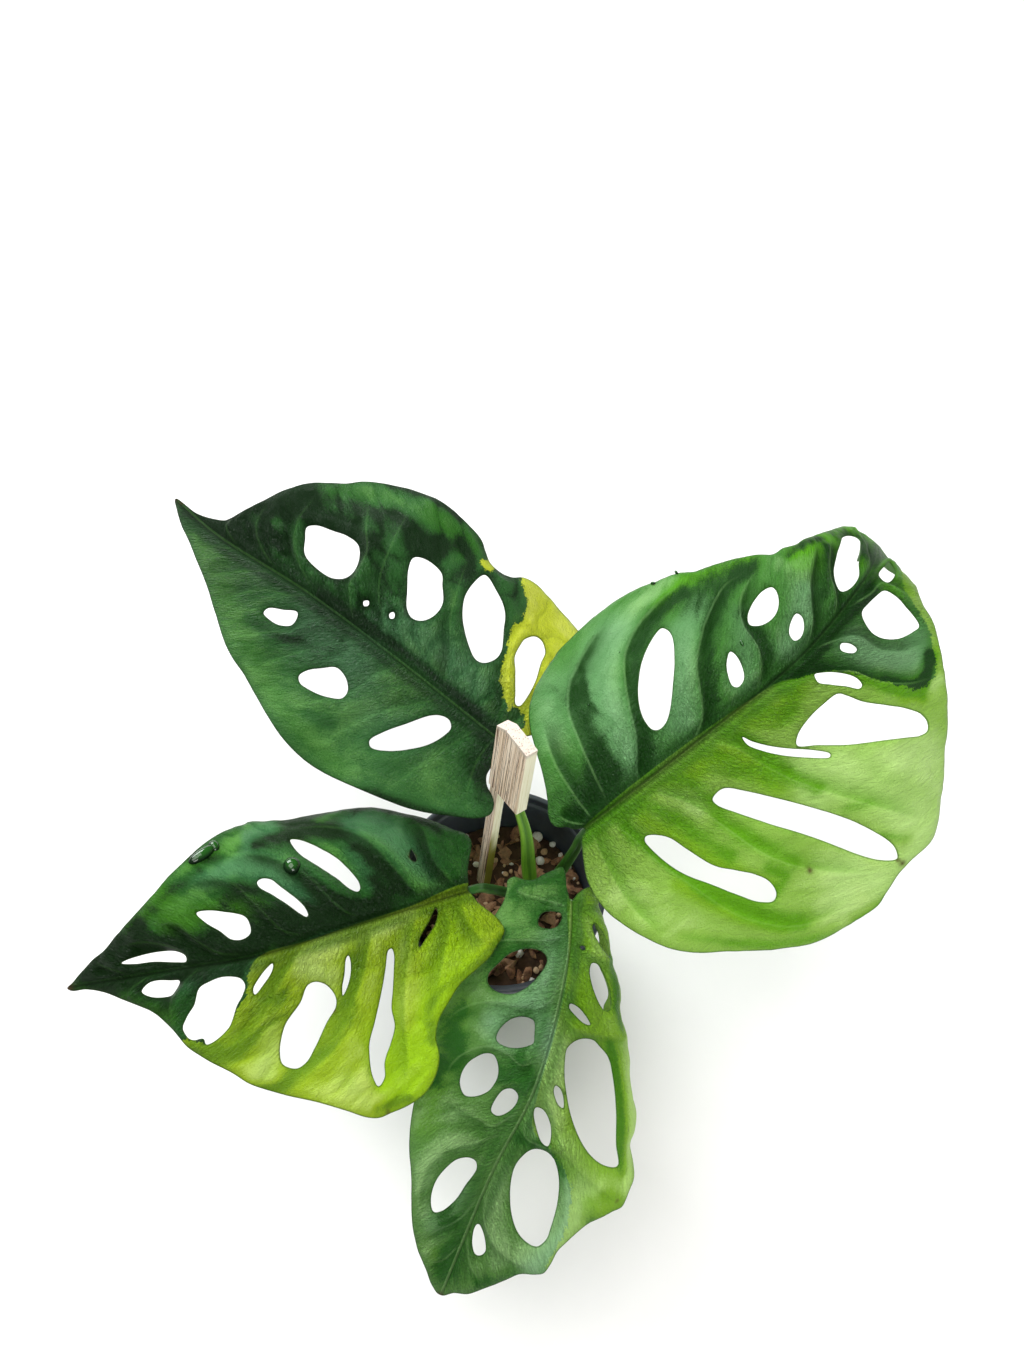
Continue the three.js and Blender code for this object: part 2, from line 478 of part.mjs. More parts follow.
function solidOf(geometry, matrix = new THREE.Matrix4()) {
  const bare = new THREE.BufferGeometry();
  bare.setAttribute("position", geometry.getAttribute("position").clone());
  bare.setIndex(geometry.index);
  const merged = mergeVertices(bare.applyMatrix4(matrix), 1e-4);
  return new wasm.Manifold(
    new wasm.Mesh({
      numProp: 3,
      vertProperties: merged.attributes.position.array,
      triVerts: new Uint32Array(merged.index.array),
    }),
  );
}

function geometryOf(solid) {
  const mesh = solid.getMesh();
  const geometry = new THREE.BufferGeometry();
  geometry.setAttribute("position", new THREE.BufferAttribute(Float32Array.from(mesh.vertProperties), 3));
  geometry.setIndex(new THREE.BufferAttribute(mesh.triVerts, 1));
  geometry.computeVertexNormals();
  return geometry;
}

function addMesh(group, name, geometry, colour, roughness) {
  const material = new THREE.MeshStandardMaterial({ color: colour, roughness, metalness: 0, flatShading: true });
  const mesh = new THREE.Mesh(geometry, material);
  mesh.name = name;
  group.add(mesh);
  return mesh;
}

// Pot
function innerRadius(z) {
  const top = SHOULDER_R - POT_WALL;
  return THREE.MathUtils.mapLinear(z, POT_FLOOR, POT_HEIGHT - COLLAR_HEIGHT, POT_BASE_R - POT_WALL, top);
}

function potGeometry() {
  const collarFoot = POT_HEIGHT - COLLAR_HEIGHT;
  const innerTop = COLLAR_R - LIP_WIDTH;
  const profile = [
    [0, 0],
    [POT_BASE_R - 0.6, 0],
    [POT_BASE_R, 0.6],
    [SHOULDER_R, collarFoot - 0.8],
    [COLLAR_R - 0.8, collarFoot],
    [COLLAR_R, POT_HEIGHT - 0.5],
    [COLLAR_R - 0.5, POT_HEIGHT],
    [innerTop + 0.4, POT_HEIGHT],
    [innerTop, POT_HEIGHT - 0.4],
    [innerTop - 0.1, POT_HEIGHT - LIP_DEPTH],
    [innerTop - 1, POT_HEIGHT - LIP_DEPTH - 0.3],
    [innerTop - 1.2, collarFoot + 0.6],
    [innerRadius(collarFoot), collarFoot - 0.6],
    [innerRadius(POT_FLOOR), POT_FLOOR],
    [0, POT_FLOOR],
  ];
  const body = new THREE.LatheGeometry(profile.map(([r, z]) => new THREE.Vector2(r, z)), POT_SEGMENTS);
  body.rotateX(Math.PI / 2);
  let pot = solidOf(body);
  for (let i = 0; i < DRAIN_COUNT; i += 1) {
    const angle = (2 * Math.PI * (i + 0.5)) / DRAIN_COUNT;
    const drill = new THREE.CylinderGeometry(DRAIN_R, DRAIN_R, 4 * POT_FLOOR, 16);
    drill.rotateX(Math.PI / 2);
    drill.translate(DRAIN_RING_R * Math.cos(angle), DRAIN_RING_R * Math.sin(angle), 0);
    pot = pot.subtract(solidOf(drill));
  }
  return geometryOf(pot);
}

// Bamboo pick, drawn with its left front edge on the local Z axis, its width along X and its back at +Y
function pickPlace() {
  const right = THREE.MathUtils.degToRad(PICK_LEAN_RIGHT);
  const back = THREE.MathUtils.degToRad(PICK_LEAN_BACK);
  const yaw = THREE.MathUtils.degToRad(PICK_YAW);
  const axis = new THREE.Vector3(Math.tan(right), Math.tan(back), 1).normalize();
  const across = new THREE.Vector3(Math.cos(yaw), -Math.sin(yaw), 0);
  across.addScaledVector(axis, -across.dot(axis)).normalize();
  const behind = new THREE.Vector3().crossVectors(axis, across);
  return new THREE.Matrix4().makeBasis(across, behind, axis).setPosition(...PICK_FOOT);
}

function prismOf(points, thickness, front) {
  const shape = new THREE.Shape(points.map(([x, z]) => new THREE.Vector2(x, z)));
  const geometry = new THREE.ExtrudeGeometry(shape, { depth: thickness, bevelEnabled: false });
  geometry.rotateX(Math.PI / 2);
  geometry.translate(0, front + thickness, 0);
  return solidOf(geometry);
}

function pickShaft(clearance) {
  const left = -clearance;
  const right = PICK_SHAFT_WIDTH + clearance;
  const shoulder = PICK_POINT - PICK_BURIED;
  const outline = [
    [(left + right) / 2 - 0.4 - clearance, -PICK_BURIED - clearance],
    [(left + right) / 2 + 0.4 + clearance, -PICK_BURIED - clearance],
    [right, shoulder],
    [right, PICK_SHAFT_LENGTH + 0.5],
    [left, PICK_SHAFT_LENGTH + 0.5],
    [left, shoulder],
  ];
  return prismOf(outline, PICK_SHAFT_THICKNESS + 2 * clearance, -clearance);
}

function pickGeometry() {
  const head = [
    [0, PICK_SHAFT_LENGTH],
    [PICK_HEAD_WIDTH, PICK_SHAFT_LENGTH],
    [PICK_HEAD_WIDTH, PICK_SHAFT_LENGTH + PICK_HEAD_RIGHT],
    [PICK_HEAD_RIDGE_AT, PICK_SHAFT_LENGTH + PICK_HEAD_RIDGE],
    [0, PICK_SHAFT_LENGTH + PICK_HEAD_LEFT],
  ];
  const headSolid = prismOf(head, PICK_SHAFT_THICKNESS + PICK_HEAD_STEP, -PICK_HEAD_STEP);
  return geometryOf(headSolid.add(pickShaft(0)));
}

// Stem, and the hole that it stands in
function stemGeometry(clearance) {
  const sizes = [STEM_R, STEM_R, STEM_R, STEM_TOP_R].map((r) => 2 * (r + clearance));
  const line = STEM_LINE.map(([x, y, z]) => [x, y, z]);
  line[0][2] -= clearance;
  line[line.length - 1][2] += clearance;
  return rodGeometry({ line, width: sizes, depth: sizes }, 12, 14, [0, -1, 0]);
}

// Soil, with its lumps raised by a formula and plain holes for the stem and the pick
function soilGeometry() {
  const random = seededRandom(LUMP_SEED);
  const between = ([low, high]) => low + (high - low) * random();
  const topRadius = innerRadius(SOIL_LEVEL) - GAP;
  const lumps = Array.from({ length: LUMP_COUNT }, () => {
    const r = topRadius * Math.sqrt(random());
    const angle = 2 * Math.PI * random();
    return { x: r * Math.cos(angle), y: r * Math.sin(angle), size: between(LUMP_RADIUS), rise: between(LUMP_HEIGHT) };
  });
  const heightAt = ([x, y]) => {
    const edge = Math.min(1, (topRadius - Math.hypot(x, y)) / 3);
    let rise = 0;
    for (const lump of lumps) {
      const d = Math.hypot(x - lump.x, y - lump.y) / lump.size;
      if (d < 1) rise = Math.max(rise, lump.rise * Math.sqrt(1 - d * d));
    }
    return SOIL_LEVEL + rise * edge;
  };
  const rim = Array.from({ length: POT_SEGMENTS }, (_, i) => {
    const angle = (2 * Math.PI * i) / POT_SEGMENTS;
    return [topRadius * Math.cos(angle), topRadius * Math.sin(angle)];
  });
  const bottomScale = (innerRadius(POT_FLOOR) - GAP) / topRadius;
  const disc = fillShape([rim], SOIL_STEP);
  const body = sheetSolid(
    disc,
    (p) => new THREE.Vector3(p[0], p[1], heightAt(p)),
    (p) => new THREE.Vector3(p[0] * bottomScale, p[1] * bottomScale, POT_FLOOR + GAP),
  );
  const pickHole = pickShaft(GAP).transform(pickPlace().toArray());
  return geometryOf(solidOf(body).subtract(pickHole).subtract(solidOf(stemGeometry(GAP))));
}

// Leaves
function listAt(values, share) {
  const place = THREE.MathUtils.clamp(share, 0, 1) * (values.length - 1);
  const i = Math.min(Math.floor(place), values.length - 2);
  const t = place - i;
  return THREE.MathUtils.lerp(values[i], values[i + 1], t * t * (3 - 2 * t));
}

// A stretch of a circle: how far it runs out and rises, from its first angle, curl and length
function arcRun(angle, curl, length) {
  const bend = Math.abs(curl) < 1e-5 ? 1e-5 : curl;
  return {
    out: (Math.sin(angle) - Math.sin(angle - bend * length)) / bend,
    rise: (Math.cos(angle - bend * length) - Math.cos(angle)) / bend,
    angle: angle - bend * length,
  };
}

function bladeSurface(leaf) {
  const curve = new THREE.CatmullRomCurve3(
    leaf.spine.map((p) => new THREE.Vector3(...p)),
    false,
    "catmullrom",
    0.5,
  );
  curve.arcLengthDivisions = 400;
  const length = curve.getLength();
  const [faceBase, faceTip] = leaf.face.map((f) => new THREE.Vector3(...f).normalize());
  const rad = THREE.MathUtils.degToRad;

  const pointAt = (side, along) => {
    const share = THREE.MathUtils.clamp(along / length, 0, 1);
    const tangent = curve.getTangentAt(share);
    const point = curve.getPointAt(share).addScaledVector(tangent, along - share * length);
    const face = faceBase.clone().lerp(faceTip, share);
    const up = face.addScaledVector(tangent, -face.dot(tangent)).normalize();
    const across = new THREE.Vector3().crossVectors(tangent, up);
    const half = side < 0 ? leaf.left : leaf.right;
    const reach = Math.abs(side) * listAt(half.spread, share);
    const rollStart = listAt(half.roll.start, share);
    const curl = rad(listAt(half.curl, share));
    const first = arcRun(rad(listAt(half.fold, share)), curl, Math.min(reach, rollStart));
    const rest = Math.max(reach - rollStart, 0);
    const second = arcRun(first.angle, curl + rad(listAt(half.roll.curl, share)), rest);
    point.addScaledVector(across, Math.sign(side) * (first.out + second.out));
    const wave = Math.sin((2 * Math.PI * (along + 0.35 * side)) / leaf.wave.length) * Math.min(reach / 35, 1) ** 2;
    return point.addScaledVector(up, first.rise + second.rise + leaf.wave.height * wave);
  };
  const normalAt = (side, along) => {
    const d = 0.8;
    const a = pointAt(side + d, along).sub(pointAt(side - d, along));
    const b = pointAt(side, along + d).sub(pointAt(side, along - d));
    return a.cross(b).normalize();
  };
  return { pointAt, normalAt, length };
}

function leafGeometry(leaf) {
  const { pointAt, normalAt, length } = bladeSurface(leaf);
  const sized = (loop) => loop.map(([side, along]) => [leaf.size * side, leaf.size * along]);
  const outline = smoothLoop(sized(leaf.outline), EDGE_STEP);
  const loops = [outline, ...leaf.holes.map((hole) => smoothLoop(sized(hole), HOLE_STEP))];
  const rows = [];
  for (let along = BLADE_STEP; along < length - 4; along += BLADE_STEP) {
    rows.push([0, along], [MIDRIB_SIDE, along + BLADE_STEP / 2], [-MIDRIB_SIDE, along + BLADE_STEP / 2]);
  }
  const flat = fillShape(loops, BLADE_STEP, rows);
  const faceAt = (distance) => ([side, along]) =>
    pointAt(side, along).addScaledVector(normalAt(side, along), distance);
  const blade = sheetSolid(flat, faceAt(BLADE / 2), faceAt(-BLADE / 2));

  // The petiole runs on below the blade as its midrib
  const ribStart = 5;
  const ribEnd = RIB_SHARE * length;
  const ribSteps = 7;
  const line = [...leaf.petiole.line];
  const width = [...leaf.petiole.width];
  const depth = [...leaf.petiole.depth];
  for (let i = 0; i <= ribSteps; i += 1) {
    const along = THREE.MathUtils.lerp(ribStart, ribEnd, i / ribSteps);
    const r = THREE.MathUtils.lerp(RIB_START_R, RIB_END_R, i / ribSteps);
    line.push(pointAt(0, along).addScaledVector(normalAt(0, along), -0.75 * r).toArray());
    width.push(2 * r);
    depth.push(2 * r);
  }
  const rod = rodGeometry({ line, width, depth }, 8, 4 * line.length, leaf.face[0]);
  return geometryOf(solidOf(blade).add(solidOf(rod)).subtract(solidOf(stemGeometry(GAP))));
}

const plant = new THREE.Group();
addMesh(plant, "pot", potGeometry(), "#2b3036", 0.6);
addMesh(plant, "soil", soilGeometry(), "#3d2a1f", 0.95);
const pick = addMesh(plant, "bamboo_pick", pickGeometry(), "#cbab84", 0.7);
pick.applyMatrix4(pickPlace());
addMesh(plant, "stem", stemGeometry(0), "#5f8b35", 0.5);
for (const [name, leaf] of Object.entries(LEAVES)) {
  addMesh(plant, name, leafGeometry(leaf), leaf.colour, 0.45);
}

export default plant;
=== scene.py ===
import math
import random

import bmesh
import bpy
import numpy as np
from mathutils import Matrix, Vector, kdtree, noise
from mathutils.geometry import delaunay_2d_cdt


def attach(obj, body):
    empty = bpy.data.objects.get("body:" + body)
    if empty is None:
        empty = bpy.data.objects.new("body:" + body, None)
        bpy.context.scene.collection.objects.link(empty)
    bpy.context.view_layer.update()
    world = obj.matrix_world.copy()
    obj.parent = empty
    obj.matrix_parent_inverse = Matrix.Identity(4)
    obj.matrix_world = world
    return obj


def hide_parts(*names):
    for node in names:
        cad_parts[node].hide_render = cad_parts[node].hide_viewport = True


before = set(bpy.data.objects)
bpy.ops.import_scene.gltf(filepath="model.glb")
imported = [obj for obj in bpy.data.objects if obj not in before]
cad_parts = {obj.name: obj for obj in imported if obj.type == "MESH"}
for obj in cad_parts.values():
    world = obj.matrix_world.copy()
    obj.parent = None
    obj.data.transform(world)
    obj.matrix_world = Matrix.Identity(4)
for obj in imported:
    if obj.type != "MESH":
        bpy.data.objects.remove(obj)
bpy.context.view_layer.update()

MM = 0.001
FAR = 99.0
FULL_TURN = 6.28
UP_ANGLE = math.pi / 2

# The photograph's view: 60 degrees down along +Y, image 1024 x 1365
CAMERA_PLACE = (3.62, -112.83, 376.30)
CAMERA_DOWN = 60.0
CAMERA_NEAR_M = 0.01
FOCAL_PIXELS = 1100.0
IMAGE_HEIGHT = 1365.0
SENSOR = 36.0
FLOOR_REACH = 4000

# Soft studio light, in metres: name, place, size, power and colour
LIGHT_TARGET = (0.01, 0.0, 0.09)
LIGHTS = [
    ("overhead", (-0.15, 0.15, 1.1), (0.9, 0.9), 10.0, (1.0, 0.99, 0.97)),
    ("window", (-0.6, 0.95, 0.7), (0.8, 0.6), 18.0, (0.96, 0.98, 1.0)),
    ("fill", (0.35, -0.8, 0.95), (0.6, 0.6), 6.5, (1.0, 0.99, 0.97)),
]
WORLD_STRENGTH = 0.22

# Blades: the spacing of their points, their thickness and their waves
BLADE_STEP = 0.66
EDGE_STEP = 0.6
HOLE_STEP = 0.85 * EDGE_STEP
MARGIN_STEP = 0.2
NORMAL_STEP = 0.6
BLADE_THICK = 0.55
BLADE_EDGE_THICK = 0.3
EDGE_WIDTH = 0.7
WAVE_SLANT = 0.35
WAVE_FULL_AT = 35
UV_SCALE = 0.01

# Pleats: a crest before each side vein, a groove past it, and the painted shade on the slope between them
CREST_HEIGHT = 0.55
CREST_AT = -0.7
CREST_WIDTH = 3.6
GROOVE_DEPTH = 0.95
GROOVE_AT = 1.5
GROOVE_WIDTH = 3.4
SLOPE_SHADE_FROM = -0.4
SLOPE_SHADE_AT = 0.7
SLOPE_SHADE_WIDTH = 3.4
PLEAT_REACH = 9.0
VEIN_REACH = 2.5
MARGIN_DROP = 0.18
WRINKLE_HEIGHT = 0.35
STROKE_SPREAD = 1.25

# The lean of the side veins at places along the blade, which the texture's flow follows
LEAN_PLACES = [-10, 10, 60, 110]
LEANS = [-0.2, 0.2, 0.75, 1.2]
LEFT_HALF_SHIFT = 3

# Midribs: the groove over them, columns of points beside them, and the rod under the blade
RIB_GROOVE = 0.55
RIB_BANK = 0.3
RIB_COLUMNS = (-1.8, -1.2, -0.6, 0.0, 0.6, 1.2, 1.8)
RIB_START_R = 1.3
RIB_END_R = 0.3
RIB_BELOW = 0.72
RIB_FROM = 5
RIB_TO_SHARE = 0.86
RIB_STEPS = 26

# A half's roll that bends nothing, and a half as wide as it is drawn
FLAT = {"start": [99, 99], "curl": [0, 0]}
AS_DRAWN = [1, 1]

# Leaves as in the solids, bent over the spine. Folds are in degrees, curls in degrees a millimetre
LEAVES = {
    "leaf_upper_left": {
        "size": 1.01,
        "spine": [(-0.5, 30.9, 95.2), (-27.3, 48.6, 107.3), (-54.6, 66.8, 116.4), (-80.8, 83.4, 120.5),
            (-97, 99, 119.5)],
        "face": [(0.2, -0.32, 0.93), (0.1, -0.45, 0.89)],
        "left": {"fold": [8, 6, 4], "curl": [0.5, 0.4, 0.2], "roll": FLAT, "spread": AS_DRAWN},
        "right": {"fold": [-5, 5, 4], "curl": [0.4, 0.3, 0.2], "roll": FLAT, "spread": [1.1, 1.05, 1]},
        "wave": {"height": 1, "length": 31},
        "petiole": {
            "line": [(9.6, 2.2, 47), (8.7, 6.4, 56.5), (7.8, 12.4, 68), (5.2, 17.8, 77.5), (1.8, 25, 88)],
            "width": [4.2, 4.6, 3.6, 2.8, 2.6],
            "depth": [3, 2.8, 2.6, 2.4, 2.4],
        },
    },
    "leaf_right": {
        "size": 0.98,
        "spine": [(24.1, 4.7, 92.3), (53.7, 22.1, 110.1), (81.4, 41.5, 121.9), (102.5, 66, 124.6),
            (110.7, 83, 117), (114, 93, 103), (114, 97, 88)],
        "face": [(0.1, -0.5, 0.87), (0.35, -0.1, 0.9)],
        "left": {
            "fold": [-10.5, -11, -8, -15],
            "curl": [0.73, 0.75, 0.8, 0.6],
            "roll": FLAT,
            "spread": [0.96, 0.95, 0.97, 1],
        },
        "right": {"fold": [14, 8, 4, -11], "curl": [0.3, 0.3, 0.5, 0.8], "roll": FLAT, "spread": AS_DRAWN},
        "wave": {"height": 1.2, "length": 38},
        "petiole": {
            "line": [(12.9, 0.2, 50), (16.2, 2.4, 56.5), (19.4, 4.2, 65), (21.9, 4.8, 76),
                (23.3, 4.8, 85.5)],
            "width": [4.4, 4, 3.4, 3, 2.8],
            "depth": [3, 2.8, 2.6, 2.6, 2.6],
        },
    },
    "leaf_lower_left": {
        "size": 1,
        "spine": [(-8, -8, 78), (-40.5, -20.5, 84), (-63, -29, 87), (-87, -33, 86), (-115.5, -36, 80.5)],
        "face": [(0.1, -0.25, 0.96), (0.1, -0.25, 0.96)],
        "left": {"fold": [18, 8, 4], "curl": [0.3, 0.2, 0.2], "roll": FLAT, "spread": AS_DRAWN},
        "right": {"fold": [-4, -4, 2], "curl": [1, 0.9, 0.4], "roll": FLAT, "spread": AS_DRAWN},
        "wave": {"height": 1, "length": 29},
        "petiole": {
            "line": [(7.6, -0.8, 49), (4, -2, 56), (0.4, -2.9, 61.5), (-3.4, -4.2, 67.5), (-6.4, -6.4, 74)],
            "width": [4.2, 3.6, 3, 2.8, 2.6],
            "depth": [3, 2.8, 2.6, 2.4, 2.4],
        },
    },
    "leaf_front": {
        "size": 1,
        "spine": [(20.5, -8, 80), (18.3, -30.5, 78), (10, -59, 69), (-2, -80, 59), (-15.3, -107.5, 42.7)],
        "face": [(0, -0.2, 0.98), (0, -0.2, 0.98)],
        "left": {
            "fold": [-18, -10, 0, 4, 4],
            "curl": [0.8, 0.8, 0.8, 0.5, 0.3],
            "roll": {
                "start": [4.5, 8.4, 14, 20, 26.5, 40, 40, 40, 40],
                "curl": [10, 10, 10, 10, 10, 0, 0, 0, 0],
            },
            "spread": AS_DRAWN,
        },
        "right": {
            "fold": [-11, -8, 0, 4, 4],
            "curl": [0.6, 0.6, 0.6, 0.5, 0.3],
            "roll": FLAT,
            "spread": AS_DRAWN,
        },
        "wave": {"height": 0.8, "length": 27},
        "petiole": {
            "line": [(12.8, -3, 52), (15.2, -5.6, 60), (17.6, -8.6, 68), (19.6, -11.4, 75.5)],
            "width": [4.2, 3.4, 3, 2.8],
            "depth": [3, 2.8, 2.6, 2.6],
        },
    },
}

# Outlines of the blades and of their holes, drawn flat as (side, along)
OUTLINES = {
    "leaf_upper_left": [(0, 121), (1, 111), (3, 105), (5.5, 101.2), (8, 99.7), (12, 97.5), (16, 94.5),
        (21, 91), (26, 86), (29, 81.5), (32, 77), (35, 74), (38.5, 68.5), (41, 62.5), (42.7, 56),
        (43.2, 48), (42.5, 40), (40.5, 36.5), (38.5, 33), (38.3, 29), (39.5, 25.5), (42, 23), (43.5, 20),
        (44.3, 14), (44, 8), (43, 2), (40, -4.5), (35, -9.5), (28, -12.5), (20, -13), (13, -11), (7, -7.5),
        (3, -3.5), (0.2, 0.5), (-2.5, -3), (-5, -4), (-7.8, -3.5), (-10.7, -3.9), (-12.8, -5.8),
        (-14, -8.4), (-15.6, -10.3), (-18.5, -11.2), (-22, -8.5), (-25.5, -3), (-30, 5), (-33, 13),
        (-36, 24), (-37.8, 33), (-38.2, 40), (-37, 48), (-34.5, 55.5), (-32, 62), (-29.5, 68), (-27.5, 74),
        (-25, 79), (-21, 84.5), (-17, 89.5), (-13, 94.5), (-9.5, 100), (-6.5, 106), (-4.5, 112),
        (-2.4, 117)],
    "leaf_right": [(0, 160.5), (1.5, 156), (5, 149), (9, 141), (13, 133), (16, 126), (17.2, 121),
        (19, 117.5), (24, 115), (30, 110.5), (35.3, 106), (40.8, 101.5), (46.5, 96), (51.5, 89.3),
        (57.2, 82), (61.8, 76), (63.7, 73), (63.7, 69), (63.2, 65), (64, 60), (66.3, 55), (68.2, 51),
        (68.2, 44), (66.7, 36.3), (64.2, 29.5), (60.3, 22.8), (56.4, 16), (51.6, 9.2), (46.9, 3.3),
        (42.2, -1), (36.5, -4.6), (29.8, -7.8), (23, -9.8), (17, -10), (12, -9), (8, -7), (4, -4.5),
        (1.5, -2.6), (0, -0.5), (-1.5, -2.6), (-3.5, -4.2), (-5, -6.3), (-7, -7.3), (-10, -6.5),
        (-13, -4.5), (-17, -2.5), (-22, -0.5), (-29, 1.5), (-35, 3.2), (-40, 5.5), (-45, 10), (-49, 17),
        (-52, 24), (-53.7, 33), (-54.5, 42), (-54.3, 50), (-53, 56), (-50, 63), (-47, 70.5), (-43, 77),
        (-39, 85), (-35, 90.5), (-31, 95), (-26.5, 98.5), (-25, 103), (-22.5, 107), (-21.5, 111),
        (-19, 118), (-16, 124), (-12, 131), (-7.5, 140), (-4, 148), (-1.5, 156)],
    "leaf_lower_left": [(-0.4, 113.4), (0.8, 111.6), (4, 108), (6, 105.5), (8, 102), (11, 99), (15, 94.5),
        (19, 90), (24, 85), (29, 80.5), (33, 77), (36, 74), (39, 70), (41, 65), (42, 59), (41.8, 53),
        (40.5, 47.5), (39, 42), (38, 36), (37.2, 30), (36, 24), (34.3, 18), (31, 12.5), (27, 7.5), (23, 3),
        (19, -1), (16.5, -4), (14, -5), (11.5, -4.2), (8, -2.2), (5, -0.8), (2.5, 0), (0, 0.6), (-2, 0.2),
        (-5, -1), (-8, -3), (-11, -4.5), (-14, -5), (-16, -3.5), (-18, -1), (-20, 1.5), (-22, 6),
        (-24.5, 12), (-28, 16.5), (-31, 20), (-35, 22.3), (-40, 22.9), (-44, 25), (-47.5, 29), (-49, 34),
        (-49.3, 39), (-49.3, 43), (-48, 46), (-44.5, 50), (-40, 55), (-36, 60.5), (-32, 66), (-28, 70),
        (-24, 75.5), (-19.8, 80.8), (-14.5, 85), (-10, 89.5), (-8, 93), (-5.5, 98), (-3, 103), (-1.6, 108),
        (-1.4, 112)],
    "leaf_front": [(0, 115), (3, 113.5), (6, 110.5), (10, 106.5), (13, 102.5), (15, 99), (17, 94.5),
        (19, 90), (22, 85), (24.5, 80), (26.7, 75.5), (29, 69.5), (31, 62.5), (32.3, 55), (32.7, 47),
        (32, 39), (30.3, 31), (28, 23), (25.5, 15), (22.5, 7.5), (20, 3.7), (19.3, 1), (19.3, -1.5),
        (17.5, -2.6), (14, -1.7), (11.5, -1.7), (9, -3.2), (6, -4.6), (3.2, -5.6), (2.2, -3.5), (1.4, 0.5),
        (0, 4), (-2, 1.4), (-5, -0.8), (-9, -1.5), (-13, 0.5), (-16, 5), (-19.5, 13), (-23, 20), (-27, 29),
        (-31, 37), (-34.8, 46), (-37, 54), (-37.3, 60), (-35.7, 65), (-35.3, 70), (-33.2, 73),
        (-30.5, 77.5), (-28, 82), (-25.6, 87), (-24, 91), (-23.4, 95), (-22.6, 97.8), (-21, 99),
        (-17, 100.8), (-14, 104), (-10, 108), (-6.5, 111.3), (-3, 112.8)],
}
